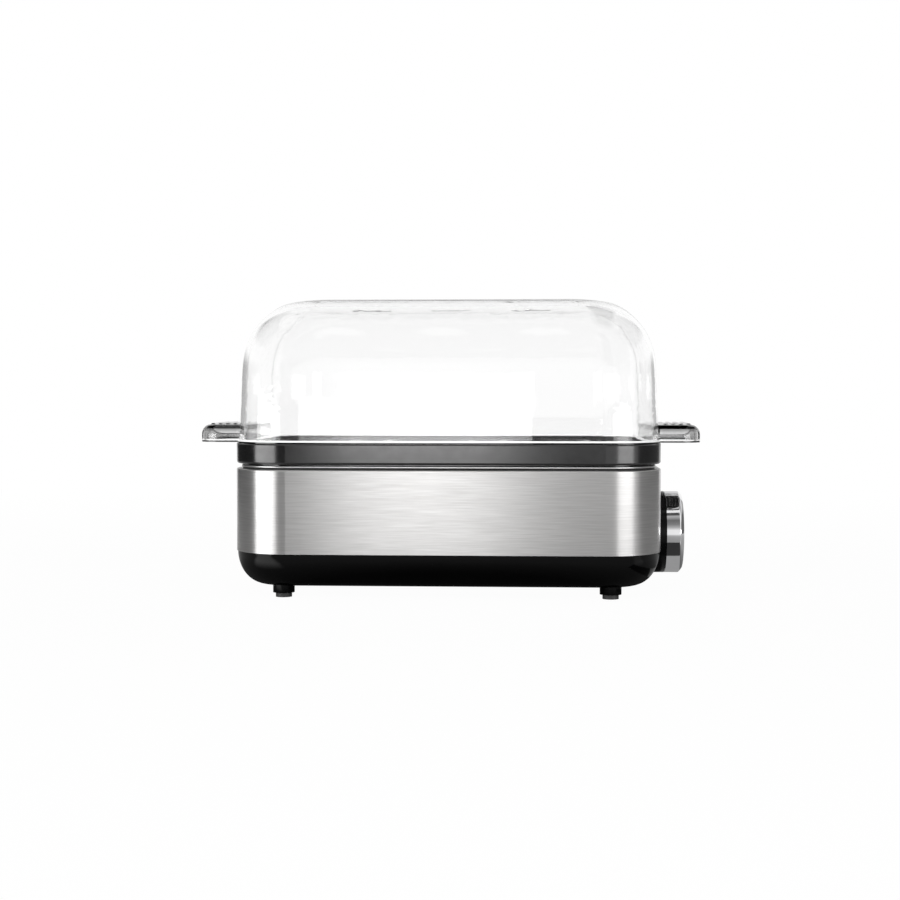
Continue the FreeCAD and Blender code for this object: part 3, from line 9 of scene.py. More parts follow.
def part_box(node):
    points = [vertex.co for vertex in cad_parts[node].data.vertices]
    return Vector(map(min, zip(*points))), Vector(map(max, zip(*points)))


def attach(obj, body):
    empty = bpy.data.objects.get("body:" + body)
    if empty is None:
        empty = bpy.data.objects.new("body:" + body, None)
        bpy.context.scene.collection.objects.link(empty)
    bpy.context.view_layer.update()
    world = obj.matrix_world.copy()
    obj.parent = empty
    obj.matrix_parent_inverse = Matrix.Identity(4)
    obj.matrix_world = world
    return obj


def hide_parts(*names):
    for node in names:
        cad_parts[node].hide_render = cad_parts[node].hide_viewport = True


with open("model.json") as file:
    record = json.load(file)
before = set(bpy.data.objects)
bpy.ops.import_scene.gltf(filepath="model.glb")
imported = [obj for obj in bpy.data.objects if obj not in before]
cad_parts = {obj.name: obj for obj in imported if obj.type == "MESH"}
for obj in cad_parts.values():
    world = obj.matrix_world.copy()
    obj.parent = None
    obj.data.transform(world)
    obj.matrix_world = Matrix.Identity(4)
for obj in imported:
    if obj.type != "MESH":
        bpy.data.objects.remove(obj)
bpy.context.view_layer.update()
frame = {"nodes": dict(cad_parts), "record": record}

# Lengths are in metres and angles in degrees. The cooker's front faces -Y, and its knob +X.
MM = 0.001

# Shader nodes


def combine(tree, operation, first, second):
    """The result of one operation on two inputs, each a socket or a number."""
    node = tree.nodes.new("ShaderNodeMath")
    node.operation = operation
    for socket, value in zip(node.inputs, (first, second)):
        if isinstance(value, bpy.types.NodeSocket):
            tree.links.new(value, socket)
        else:
            socket.default_value = value
    return node.outputs[0]


def ranged(tree, value, source, target=(0.0, 1.0), smooth=False):
    """The value carried over from one range to another, and held inside that."""
    node = tree.nodes.new("ShaderNodeMapRange")
    if smooth:
        node.interpolation_type = "SMOOTHSTEP"
    for socket, number in zip(("From Min", "From Max", "To Min", "To Max"), (*source, *target)):
        node.inputs[socket].default_value = number
    tree.links.new(value, node.inputs["Value"])
    return node.outputs["Result"]


def own_place(tree):
    """The place on an object along its own axes, as three numbers."""
    place = tree.nodes.new("ShaderNodeTexCoord")
    parts = tree.nodes.new("ShaderNodeSeparateXYZ")
    tree.links.new(place.outputs["Object"], parts.inputs[0])
    return parts.outputs


# Materials

SOCKETS = {
    "metallic": "Metallic",
    "roughness": "Roughness",
    "ior": "IOR",
    "specular": "Specular IOR Level",
    "transmission": "Transmission Weight",
    "anisotropy": "Anisotropic",
    "grain_turn": "Anisotropic Rotation",
}
# The part of the noise that is spread over a finish's values
NOISE_RANGE = (0.32, 0.68)
UNTINTED = 1.0


class Surface:
    """A material with one shader, and short calls for the textures that feed it."""

    def __init__(self, name, colour, **values):
        self.material = bpy.data.materials.new(name)
        self.material.use_nodes = True
        self.tree = self.material.node_tree
        self.shader = self.tree.nodes["Principled BSDF"]
        self.shader.inputs["Base Color"].default_value = (*colour, 1.0)
        for word, value in values.items():
            self.shader.inputs[SOCKETS[word]].default_value = value

    def link(self, source, target):
        self.tree.links.new(source, target)

    def noise(self, size, stretch=(1, 1, 1), detail=3.0):
        """Noise whose features are about that size, and longer where stretch is above 1."""
        place = self.tree.nodes.new("ShaderNodeTexCoord")
        mapping = self.tree.nodes.new("ShaderNodeMapping")
        mapping.inputs["Scale"].default_value = [1 / (size * factor) for factor in stretch]
        self.link(place.outputs["Object"], mapping.inputs["Vector"])
        noise = self.tree.nodes.new("ShaderNodeTexNoise")
        noise.inputs["Scale"].default_value = 1.0
        noise.inputs["Detail"].default_value = detail
        self.link(mapping.outputs["Vector"], noise.inputs["Vector"])
        return noise.outputs[0]

    def span(self, texture, low, high):
        """A number that follows noise, or a mask of 0 and 1, between two values."""
        return ranged(self.tree, texture, NOISE_RANGE, (low, high))

    def vary(self, word, texture, low, high):
        """A number of the shader that follows the texture between two values."""
        self.link(self.span(texture, low, high), self.shader.inputs[SOCKETS[word]])

    def inside(self, axis, low, high):
        """1 where the distance from the middle along an axis of the frame is between two values."""
        distance = combine(self.tree, "ABSOLUTE", own_place(self.tree)[axis], 0.0)
        within = self.tree.nodes.new("ShaderNodeMath")
        within.operation = "COMPARE"
        within.inputs[1].default_value = (low + high) / 2
        within.inputs[2].default_value = (high - low) / 2
        self.link(distance, within.inputs[0])
        return within.outputs[0]

    def inside_all(self, **spans):
        """1 where the place is within the span of every axis given."""
        total = 1.0
        for axis, (low, high) in spans.items():
            total = combine(self.tree, "MULTIPLY", self.inside(axis, low, high), total)
        return total

    def grey(self, level, places):
        """The colour is the grey level, and no lighter than the tint of each place."""
        for place, tint in places:
            level = combine(self.tree, "MINIMUM", self.span(place, UNTINTED, tint), level)
        self.link(level, self.shader.inputs["Base Color"])

    def tint(self, texture, dark, light):
        """The colour follows the texture from dark to light."""
        ramp = self.tree.nodes.new("ShaderNodeValToRGB")
        for element, position, colour in zip(ramp.color_ramp.elements, NOISE_RANGE, (dark, light)):
            element.position = position
            element.color = (*colour, 1.0)
        self.link(texture, ramp.inputs["Fac"])
        self.link(ramp.outputs["Color"], self.shader.inputs["Base Color"])

    def mottle(self, texture, colour, dark, light):
        """The colour follows the texture between a darker and a lighter shade of it."""
        shades = [tuple(channel * factor for channel in colour) for factor in (dark, light)]
        self.tint(texture, *shades)

    def relief(self, texture, depth):
        """Raises the surface by the texture."""
        bump = self.tree.nodes.new("ShaderNodeBump")
        bump.inputs["Distance"].default_value = depth
        self.link(texture, bump.inputs["Height"])
        self.link(bump.outputs["Normal"], self.shader.inputs["Normal"])

    def grain_round_body(self):
        """Brushing runs level round the body, so highlights spread up and down."""
        tangent = self.tree.nodes.new("ShaderNodeTangent")
        tangent.direction_type = "RADIAL"
        tangent.axis = "Z"
        self.link(tangent.outputs["Tangent"], self.shader.inputs["Tangent"])


# Places on the lid: heights, and distances from the middle along each axis
LID_FOOT = (66.0 * MM, 69.05 * MM)
LID_SEAT = (69.05 * MM, 69.7 * MM)
LID_ROOF = (129.4 * MM, 140.0 * MM)
SLOT_WIDTH = (0.0, 2.6 * MM)
SLOT_LENGTHS = ((0.0, 9.0 * MM), (28.0 * MM, 46.0 * MM))
TAB_LENGTH = (96.0 * MM, 120.0 * MM)
HOLLOW_LENGTH = (94.7 * MM, 111.2 * MM)
HOLLOW_WIDTH = (0.0, 26.0 * MM)
HOLLOW_LEVELS = (60.0 * MM, 74.1 * MM)
# Grey levels painted on the clear lid: painted shade on the foot by the black ring, the tabs, their hollows
# and the slots, and a slightly greyer roof
FOOT_PAINTED_SHADE = 0.02
ROOF_TINT = 0.95
SLOT_PAINTED_SHADE = 0.08
TAB_PAINTED_SHADE = 0.86
HOLLOW_PAINTED_SHADE = 0.42
LID_IOR = 1.45
LID_CLEAR = 1.0
LID_HAZE = (0.0, 0.03)
LID_WAVE = 0.02 * MM
SEAT_ROUGHNESS = 0.5
SEAT_CLEAR = 0.2


def clear_plastic():
    """Clear moulding with a frosted seat, with painted shade on its foot where it sits on the black ring, on
    the tabs, in their hollows and along the slots, and a slightly greyer roof.
    """
    surface = Surface("clear_plastic", (UNTINTED, UNTINTED, UNTINTED), transmission=LID_CLEAR, ior=LID_IOR)
    seat = surface.inside("Z", *LID_SEAT)
    haze = surface.span(surface.noise(size=9 * MM), *LID_HAZE)
    frost = surface.span(seat, 0.0, SEAT_ROUGHNESS)
    surface.link(combine(surface.tree, "MAXIMUM", haze, frost), surface.shader.inputs["Roughness"])
    surface.vary("transmission", seat, LID_CLEAR, SEAT_CLEAR)
    # Painted shade: the foot, tabs, tab hollows and slots are painted grey or dark
    places = [
        (surface.inside("Z", *LID_FOOT), FOOT_PAINTED_SHADE),
        (surface.inside("Z", *LID_ROOF), ROOF_TINT),
        (surface.inside("X", *TAB_LENGTH), TAB_PAINTED_SHADE),
        (surface.inside_all(X=HOLLOW_LENGTH, Y=HOLLOW_WIDTH, Z=HOLLOW_LEVELS), HOLLOW_PAINTED_SHADE),
    ]
    for length in SLOT_LENGTHS:
        places.append((surface.inside_all(X=length, Y=SLOT_WIDTH, Z=LID_ROOF), SLOT_PAINTED_SHADE))
    surface.grey(UNTINTED, places)
    surface.relief(surface.noise(size=28 * MM, detail=1.0), LID_WAVE)
    return surface.material


# Heights on the bowl's rim
RIM_FACE = (57.8 * MM, 58.5 * MM)
RIM_EDGES = ((57.4 * MM, 57.8 * MM), (58.5 * MM, 58.88 * MM))
RIM_TINT = 0.5
# Painted shade: the rolled edges are painted dark, as lines where they meet seal and tray
RIM_EDGE_PAINTED_SHADE = 0.03
RIM_ROUGHNESS = 0.34
BOWL_COLOUR = (0.74, 0.74, 0.74)
BOWL_LEVELS = (0.7, 0.77)
BOWL_ROUGHNESS = (0.08, 0.16)


def polished_steel():
    """Bright bowl with a satin rim, whose rolled edges carry painted shade as dark lines where they meet
    seal and tray.
    """
    surface = Surface("polished_steel", BOWL_COLOUR, metallic=1.0)
    face = surface.inside("Z", *RIM_FACE)
    places = [(face, RIM_TINT)]
    # Painted shade along both rolled edges
    for edge in RIM_EDGES:
        places.append((surface.inside("Z", *edge), RIM_EDGE_PAINTED_SHADE))
    surface.grey(surface.span(surface.noise(size=20 * MM), *BOWL_LEVELS), places)
    polish = surface.span(surface.noise(size=0.6 * MM, stretch=(14, 14, 1)), *BOWL_ROUGHNESS)
    satin = surface.span(face, 0.0, RIM_ROUGHNESS)
    surface.link(combine(surface.tree, "MAXIMUM", polish, satin), surface.shader.inputs["Roughness"])
    return surface.material


BAND_COLOUR = (0.5, 0.495, 0.49)
BAND_DARK = (0.455, 0.45, 0.446)
BAND_LIGHT = (0.545, 0.54, 0.535)
BAND_ROUGHNESS = (0.28, 0.35)
BAND_ANISOTROPY = 0.75
BAND_GRAIN_TURN = 0.25
BAND_STREAKS = (36, 36, 1)
BAND_SCRATCHES = (60, 60, 1)
BAND_RELIEF = 0.0011 * MM


def brushed_steel():
    """Steel with fine level streaks and scratches."""
    surface = Surface(
        "brushed_steel",
        BAND_COLOUR,
        metallic=1.0,
        anisotropy=BAND_ANISOTROPY,
        grain_turn=BAND_GRAIN_TURN,
    )
    surface.tint(surface.noise(size=0.4 * MM, stretch=BAND_STREAKS, detail=4.0), BAND_DARK, BAND_LIGHT)
    surface.vary("roughness", surface.noise(size=0.25 * MM, stretch=BAND_SCRATCHES), *BAND_ROUGHNESS)
    surface.relief(surface.noise(size=0.2 * MM, stretch=BAND_SCRATCHES), BAND_RELIEF)
    surface.grain_round_body()
    return surface.material


CHROME_COLOUR = (0.8, 0.8, 0.81)
CHROME_DARK = (0.77, 0.77, 0.78)
CHROME_LIGHT = (0.83, 0.83, 0.84)
CHROME_ROUGHNESS = (0.03, 0.07)


def chrome():
    """Bright plating with a faint cloudiness."""
    surface = Surface("chrome", CHROME_COLOUR, metallic=1.0)
    surface.tint(surface.noise(size=7 * MM), CHROME_DARK, CHROME_LIGHT)
    surface.vary("roughness", surface.noise(size=3 * MM, detail=6.0), *CHROME_ROUGHNESS)
    return surface.material


SLEEVE_COLOUR = (0.82, 0.8, 0.74)
SLEEVE_DARK = (0.68, 0.66, 0.6)
SLEEVE_LIGHT = (0.86, 0.84, 0.78)
SLEEVE_ROUGHNESS = 0.8
SLEEVE_RELIEF = 0.05 * MM


def fuse_sleeve():
    """Pale woven sleeve."""
    surface = Surface("fuse_sleeve", SLEEVE_COLOUR, roughness=SLEEVE_ROUGHNESS)
    weave = surface.noise(size=0.4 * MM, stretch=(1, 3, 1))
    surface.tint(weave, SLEEVE_DARK, SLEEVE_LIGHT)
    surface.relief(weave, SLEEVE_RELIEF)
    return surface.material


BLUE_CAST = 1.06


def moulded_black(name, level, smooth, rough, specular):
    """Black moulding with faint flow marks and a fine mould texture."""
    colour = (level, level, level * BLUE_CAST)
    surface = Surface(name, colour, specular=specular)
    surface.mottle(surface.noise(size=14 * MM, stretch=(3, 3, 1)), colour, dark=0.8, light=1.25)
    surface.vary("roughness", surface.noise(size=4 * MM, detail=6.0), smooth, rough)
    surface.relief(surface.noise(size=0.5 * MM, detail=2.0), depth=0.002 * MM)
    return surface.material


def sheet_metal(name, colour, smooth, rough):
    """Plain metal with a slightly uneven, rolled finish."""
    surface = Surface(name, colour, metallic=1.0)
    surface.mottle(surface.noise(size=6 * MM), colour, dark=0.88, light=1.08)
    surface.vary("roughness", surface.noise(size=1.5 * MM, stretch=(5, 1, 1)), smooth, rough)
    surface.relief(surface.noise(size=0.8 * MM), depth=0.003 * MM)
    return surface.material


def moulded(name, colour, smooth, rough):
    """Coloured moulding with a fine mould texture."""
    surface = Surface(name, colour)
    surface.mottle(surface.noise(size=5 * MM), colour, dark=0.86, light=1.1)
    surface.vary("roughness", surface.noise(size=2 * MM), smooth, rough)
    surface.relief(surface.noise(size=0.4 * MM), depth=0.003 * MM)
    return surface.material


def soft_rubber(name, level, smooth, rough):
    """Dull rubber with a fine grain."""
    colour = (level, level, level)
    surface = Surface(name, colour)
    surface.mottle(surface.noise(size=3 * MM), colour, dark=0.8, light=1.2)
    surface.vary("roughness", surface.noise(size=1 * MM), smooth, rough)
    surface.relief(surface.noise(size=0.3 * MM), depth=0.004 * MM)
    return surface.material


# Finishes that have a function of their own
OWN_FINISHES = {
    "clear_plastic": clear_plastic,
    "polished_steel": polished_steel,
    "brushed_steel": brushed_steel,
    "chrome": chrome,
    "fuse_sleeve": fuse_sleeve,
}
# The rest: how it is made, colour or grey level, least and most roughness, and specular level of the blacks
FINISHES = {
    "ring_plastic": (moulded_black, 0.004, 0.16, 0.2, 0.75),
    "pan_plastic": (moulded_black, 0.0006, 0.1, 0.14, 0.2),
    "bezel_plastic": (moulded_black, 0.003, 0.12, 0.2, 0.15),
    "matte_black": (moulded_black, 0.028, 0.45, 0.6, 0.5),
    "plated_steel": (sheet_metal, (0.58, 0.58, 0.57), 0.25, 0.4),
    "heater_steel": (sheet_metal, (0.3, 0.28, 0.26), 0.35, 0.5),
    "aluminium": (sheet_metal, (0.72, 0.72, 0.73), 0.3, 0.42),
    "silicone": (soft_rubber, 0.01, 0.45, 0.65),
    "foot_rubber": (soft_rubber, 0.03, 0.45, 0.65),
    "ceramic": (moulded, (0.8, 0.78, 0.72), 0.5, 0.7),
    "board_green": (moulded, (0.02, 0.16, 0.06), 0.3, 0.45),
    "relay_case": (moulded, (0.03, 0.1, 0.3), 0.3, 0.4),
    "capacitor_case": (moulded, (0.75, 0.5, 0.06), 0.3, 0.4),
    "terminal_white": (moulded, (0.78, 0.77, 0.74), 0.35, 0.5),
    "lead_red": (moulded, (0.5, 0.03, 0.025), 0.4, 0.55),
    "lead_blue": (moulded, (0.04, 0.12, 0.45), 0.4, 0.55),
    "lead_green": (moulded, (0.2, 0.45, 0.05), 0.4, 0.55),
}
# Nodes whose finish isn't named like their slot
NODE_FINISHES = {
    "egg_tray": "ring_plastic",
    "base_pan": "pan_plastic",
    "knob_bezel": "bezel_plastic",
}


def make_finish(name):
    if name in OWN_FINISHES:
        return OWN_FINISHES[name]()
    make, *values = FINISHES[name]
    return make(name, *values)


def dress_nodes():
    """Gives every solid the finish of its slot, or its own."""
    made = {}
    for part in frame["record"]["subparts"]:
        node = part["node"]
        name = NODE_FINISHES.get(node, part["material_slot"])
        if name not in made:
            made[name] = make_finish(name)
        mesh = frame["nodes"][node].data
        mesh.materials.clear()
        mesh.materials.append(made[name])
    return made


# Small pieces

KNOB_DOME = 0.4 * MM
KNOB_BEVEL = 2.0 * MM
KNOB_BEVEL_DEPTH = 1.6 * MM
KNOB_SKIN = 1.3 * MM
KNOB_ROUND = 0.5 * MM
KNOB_SIDES = 128
DOME_RINGS = 10
ROUND_STEPS = 6
SHARP_ANGLE = 40.0
POINTER_LENGTH = 6.0 * MM
POINTER_WIDTH = 1.3 * MM
POINTER_DEPTH = 0.25 * MM
POINTER_PROUD = 0.1 * MM
POINTER_FROM_RIM = 3.2 * MM
POINTER_STEPS = 8


def knob_frame():
    """The knob's back, front, radius and axis height."""
    low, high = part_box("knob_cap")
    return low.x, high.x, (high.z - low.z) / 2, (low.z + high.z) / 2


def knob_face(reach):
    """Place of the domed face along the axis, at that distance from it."""
    _, front, radius, _ = knob_frame()
    return front - KNOB_DOME * (reach / (radius - KNOB_BEVEL)) ** 2


def rounded_corner(before, corner, after, reach):
    """Points of a smooth turn from one line to the next, starting and ending that far from the corner."""
    start = corner + (before - corner).normalized() * reach
    end = corner + (after - corner).normalized() * reach
    points = []
    for step in range(ROUND_STEPS + 1):
        share = step / ROUND_STEPS
        points.append(start.lerp(corner, share).lerp(corner.lerp(end, share), share))
    return points


def add_piece(name, form, finish, body):
    """A piece of the object from a finished form, riding on a body."""
    bmesh.ops.recalc_face_normals(form, faces=form.faces)
    mesh = bpy.data.meshes.new(name)
    form.to_mesh(mesh)
    form.free()
    mesh.materials.append(finish)
    piece = bpy.data.objects.new(name, mesh)
    bpy.context.scene.collection.objects.link(piece)
    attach(piece, body)
    return piece


def knob_profile():
    """The cap's outline as places along the axis and distances from it: face, bevel, side and inner skin."""
    back, front, radius, _ = knob_frame()
    face_edge = Vector((front - KNOB_DOME, radius - KNOB_BEVEL))
    shoulder = Vector((front - KNOB_DOME - KNOB_BEVEL_DEPTH, radius))
    back_edge = Vector((back, radius))
    profile = []
    for ring in range(DOME_RINGS + 1):
        reach = (face_edge.y - KNOB_ROUND) * ring / DOME_RINGS
        profile.append(Vector((knob_face(reach), reach)))
    profile += rounded_corner(profile[-1], face_edge, shoulder, KNOB_ROUND)[1:]
    profile += rounded_corner(face_edge, shoulder, back_edge, KNOB_ROUND)
    profile += [back_edge, back_edge - Vector((0, KNOB_SKIN)), shoulder - Vector((0, KNOB_SKIN))]
    profile.append(Vector((shoulder.x, 0)))
    return profile


def turned(profile, height):
    """A form turned from a profile that starts and ends on a level axis along X at that height."""
    form = bmesh.new()
    rings = []
    for point in profile:
        sides = KNOB_SIDES if point.y > 0 else 1
        ring = []
        for side in range(sides):
            angle = 2 * math.pi * side / sides
            across = point.y * math.sin(angle)
            ring.append(form.verts.new((point.x, across, height + point.y * math.cos(angle))))
        rings.append(ring)
    for near, far in zip(rings, rings[1:]):
        for side in range(KNOB_SIDES):
            corners = []
            for ring, place in ((near, side), (near, side + 1), (far, side + 1), (far, side)):
                corner = ring[place % len(ring)]
                if corner not in corners:
                    corners.append(corner)
            form.faces.new(corners).smooth = True
    return form


def knob_shell(finish):
    """The chrome cap, turned with a gently domed face and a rounded bevel."""
    _, _, _, height = knob_frame()
    piece = add_piece("knob_shell", turned(knob_profile(), height), finish, "knob")
    piece.data.set_sharp_from_angle(angle=math.radians(SHARP_ANGLE))
    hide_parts("knob_cap")


def rounded_bar(length, width):
    """Outline of a bar with round ends, in its own plane, along the first axis."""
    radius = width / 2
    outline = []
    for end in (1, -1):
        for step in range(POINTER_STEPS + 1):
            angle = math.radians(-90 + 180 * step / POINTER_STEPS)
            along = end * (length / 2 - radius) + end * radius * math.cos(angle)
            outline.append((along, end * radius * math.sin(angle)))
    return outline


def knob_pointer(finish):
    """A printed mark on the knob's face that shows which way it is turned."""
    _, _, radius, height = knob_frame()
    rise = radius - POINTER_FROM_RIM - POINTER_LENGTH / 2
    form = bmesh.new()
    rings = []
    chamfer = POINTER_PROUD / 2
    for proud, inset in ((-POINTER_DEPTH, 0.0), (POINTER_PROUD - chamfer, 0.0), (POINTER_PROUD, chamfer)):
        ring = []
        for along, across in rounded_bar(POINTER_LENGTH - 2 * inset, POINTER_WIDTH - 2 * inset):
            place = knob_face(math.hypot(across, rise + along)) + proud
            ring.append(form.verts.new((place, across, height + rise + along)))
        rings.append(ring)
    for lower, upper in zip(rings, rings[1:]):
        for i in range(len(lower)):
            j = (i + 1) % len(lower)
            form.faces.new((lower[i], lower[j], upper[j], upper[i]))
    form.faces.new(rings[0])
    form.faces.new(rings[-1])
    add_piece("knob_pointer", form, finish, "knob")


# Studio


def light_path_seen(tree):
    """1 for rays from the camera, off gloss or through clear plastic, and 0 for the rest."""
    path = tree.nodes.new("ShaderNodeLightPath")
    total = path.outputs["Is Camera Ray"]
    for ray in ("Is Glossy Ray", "Is Transmission Ray"):
        total = combine(tree, "MAXIMUM", total, path.outputs[ray])
    return total


ROOM_LIGHT = 0.3
ROOM_WHITE = 1.0


def white_room():
    """White where it is seen, and a plain soft light on the cooker."""
    world = bpy.data.worlds.new("studio")
    world.use_nodes = True
    tree = world.node_tree
    background = tree.nodes["Background"]
    background.inputs["Color"].default_value = (1.0, 1.0, 1.0, 1.0)
    strength = ranged(tree, light_path_seen(tree), (0.0, 1.0), (ROOM_LIGHT, ROOM_WHITE))
    tree.links.new(strength, background.inputs["Strength"])
    bpy.context.scene.world = world


def brightness_ramp(tree, value, stops):
    """Grey levels that follow a value from 0 to 1 through the stops."""
    ramp = tree.nodes.new("ShaderNodeValToRGB")
    elements = ramp.color_ramp.elements
    while len(elements) < len(stops):
        elements.new(1.0)
    for element, (position, level) in zip(elements, stops):
        element.position = position
        element.color = (level, level, level, 1.0)
    tree.links.new(value, ramp.inputs["Fac"])
    return ramp.outputs["Color"]


# Distances from the cooker's middle count less along its length
FLOOR_STRETCH = 0.6


def distance_share(tree, near, far):
    """0 up to the near distance from the cooker's middle, and 1 from the far one on."""
    place = tree.nodes.new("ShaderNodeTexCoord")
    flat = tree.nodes.new("ShaderNodeVectorMath")
    flat.operation = "MULTIPLY"
    flat.inputs[1].default_value = (FLOOR_STRETCH, 1.0, 0.0)
    tree.links.new(place.outputs["Object"], flat.inputs[0])
    length = tree.nodes.new("ShaderNodeVectorMath")
    length.operation = "LENGTH"
    tree.links.new(flat.outputs["Vector"], length.inputs[0])
    return ranged(tree, length.outputs["Value"], (near, far))


def azimuth_fade(tree, middle, half, soft):
    """1 near an azimuth round the object's own upright axis, fading to 0 at half the width from it."""
    place = own_place(tree)
    turn = combine(tree, "ARCTAN2", place["X"], combine(tree, "MULTIPLY", place["Y"], -1.0))
    away = combine(tree, "ABSOLUTE", combine(tree, "SUBTRACT", turn, math.radians(middle)), 0.0)
    return ranged(tree, away, (math.radians(half), math.radians(half - soft)), smooth=True)


def stage_material(name):
    """A material without a shader yet, and its nodes."""
    material = bpy.data.materials.new(name)
    material.use_nodes = True
    tree = material.node_tree
    tree.nodes.remove(tree.nodes["Principled BSDF"])
    return material, tree


def show(tree, shader):
    tree.links.new(shader.outputs[0], tree.nodes["Material Output"].inputs["Surface"])


def show_mix(tree, share, first, second):
    """Shows the first shader where the share is 0, and the second where it is 1."""
    mix = tree.nodes.new("ShaderNodeMixShader")
    for source, socket in zip((share, first.outputs[0], second.outputs[0]), mix.inputs):
        tree.links.new(source, socket)
    show(tree, mix)


def add_mesh(name, points, faces, material):
    mesh = bpy.data.meshes.new(name)
    mesh.from_pydata(points, [], faces)
    mesh.materials.append(material)
    item = bpy.data.objects.new(name, mesh)
    bpy.context.scene.collection.objects.link(item)
    return item


RECTANGLE = [(0, 1, 2, 3)]


def level_corners(left, right, front, rear, height):
    return [(left, front, height), (right, front, height), (right, rear, height), (left, rear, height)]


FLOOR_SIZE = 12.0
FLOOR_COLOUR = (0.82, 0.82, 0.82)
# Share of glow in the floor that the camera sees near the cooker; from the far distance on, all is glow
FLOOR_GLOW = 0.97
FLOOR_NEAR = 0.15
FLOOR_FAR = 0.7
# Brightness of the table in reflections, by the share of this distance from the cooker: a painted shadow,
# dim close by
TABLE_REACH = 0.6
TABLE_PAINTED_SHADOW_STOPS = ((0.1, 0.03), (0.16, 0.35), (0.34, 0.45), (0.7, 0.9), (1.0, 1.0))
# Painted glints on the table where it would mirror the side lamps: middle and half width in azimuth, and
# brightness
TABLE_PAINTED_GLINTS = ((-57, 13, 2.0), (66, 9, 0.7))
GLINT_SOFT = 6.0
GLINT_STOPS = ((0.13, 0.0), (0.16, 1.0), (0.5, 1.0), (0.8, 0.0))


def table_brightness(tree):
    """Brightness of the table in reflections: a painted shadow beside the cooker, apart from painted glints
    of the side lamps.
    """
    share = distance_share(tree, 0.0, TABLE_REACH)
    brightness = brightness_ramp(tree, share, TABLE_PAINTED_SHADOW_STOPS)
    near = brightness_ramp(tree, share, GLINT_STOPS)
    for middle, half, level in TABLE_PAINTED_GLINTS:
        glint = combine(tree, "MULTIPLY", azimuth_fade(tree, middle, half, GLINT_SOFT), near)
        glint = combine(tree, "MULTIPLY", glint, level)
        brightness = combine(tree, "MAXIMUM", brightness, glint)
    return brightness


def pale_floor():
    """A white table top that keeps a soft shadow, and in reflections shows a painted shadow beside the
    cooker and painted glints.
    """
    material, tree = stage_material("floor")
    top = tree.nodes.new("ShaderNodeBsdfDiffuse")
    top.inputs["Color"].default_value = (*FLOOR_COLOUR, 1.0)
    glow = tree.nodes.new("ShaderNodeEmission")
    path = tree.nodes.new("ShaderNodeLightPath")
    indirect = combine(tree, "MAXIMUM", path.outputs["Is Glossy Ray"], path.outputs["Is Transmission Ray"])
    # Painted shadow and glints, seen only in reflections and through the lid
    dimming = combine(tree, "SUBTRACT", 1.0, table_brightness(tree))
    dimming = combine(tree, "MULTIPLY", dimming, indirect)
    tree.links.new(combine(tree, "SUBTRACT", 1.0, dimming), glow.inputs["Strength"])
    share = combine(tree, "MULTIPLY", distance_share(tree, FLOOR_NEAR, FLOOR_FAR), 1.0 - FLOOR_GLOW)
    share = combine(tree, "ADD", share, FLOOR_GLOW)
    share = combine(tree, "MAXIMUM", share, indirect)
    share = combine(tree, "MULTIPLY", share, light_path_seen(tree))
    show_mix(tree, share, top, glow)
    half = FLOOR_SIZE / 2
    floor = add_mesh("floor", level_corners(-half, half, -half, half, 0.0), RECTANGLE, material)


def direction(azimuth):
    """Level, from the cooker outwards: azimuth 0 is its front, and 90 its right end."""
    angle = math.radians(azimuth)
    return Vector((math.sin(angle), -math.cos(angle), 0.0))


# Large lamps for plain soft light: azimuth, distance, lower and upper edge, width and brightness
SOFT_LAMPS = {
    "left_lamp": (-46, 1.2, 0.0, 0.8, 0.7, 4.0),
    "right_lamp": (45, 1.2, 0.0, 0.8, 0.6, 3.4),
    "key_lamp": (-5.5, 1.2, 0.3, 1.5, 0.24, 4.0),
    "rear_left_lamp": (-140, 1.3, 0.0, 0.9, 0.6, 2.2),
    "rear_right_lamp": (140, 1.3, 0.0, 0.9, 0.6, 2.2),
}
# Low strips that give the highlights of the ring and band: azimuth, width and brightness
STRIPS = {
    "front_strip": (-5.0, 0.22, 5.4),
    "left_strip": (-53, 0.66, 6.0),
    "right_strip": (45, 0.46, 5.2),
}
STRIP_DISTANCE = 0.85
STRIP_LOW = 0.005
STRIP_HIGH = 0.14


def softbox(name, azimuth, distance, low, high, width, brightness, in_gloss):
    """A soft lamp that stands upright and faces the cooker."""
    lamp = bpy.data.lights.new(name, "AREA")
    lamp.shape = "RECTANGLE"
    lamp.size = width
    lamp.size_y = high - low
    lamp.energy = brightness * math.pi * width * (high - low)
    item = bpy.data.objects.new(name, lamp)
    outward = direction(azimuth)
    item.location = outward * distance + Vector((0, 0, (low + high) / 2))
    item.rotation_euler = outward.to_track_quat("Z", "Y").to_euler()
    item.visible_camera = False
    item.visible_glossy = in_gloss
    item.visible_transmission = in_gloss
    bpy.context.scene.collection.objects.link(item)


def studio_lamps():
    """The large lamps don't show in reflections or through the lid, and the strips do."""
    for name, values in SOFT_LAMPS.items():
        softbox(name, *values, in_gloss=False)
    for name, (azimuth, width, brightness) in STRIPS.items():
        softbox(name, azimuth, STRIP_DISTANCE, STRIP_LOW, STRIP_HIGH, width, brightness, in_gloss=True)


FLAG_RADIUS = 0.5
FLAG_HEIGHT = 0.8
FLAG_STEP = 4.0
FLAG_GLOW = 0.004


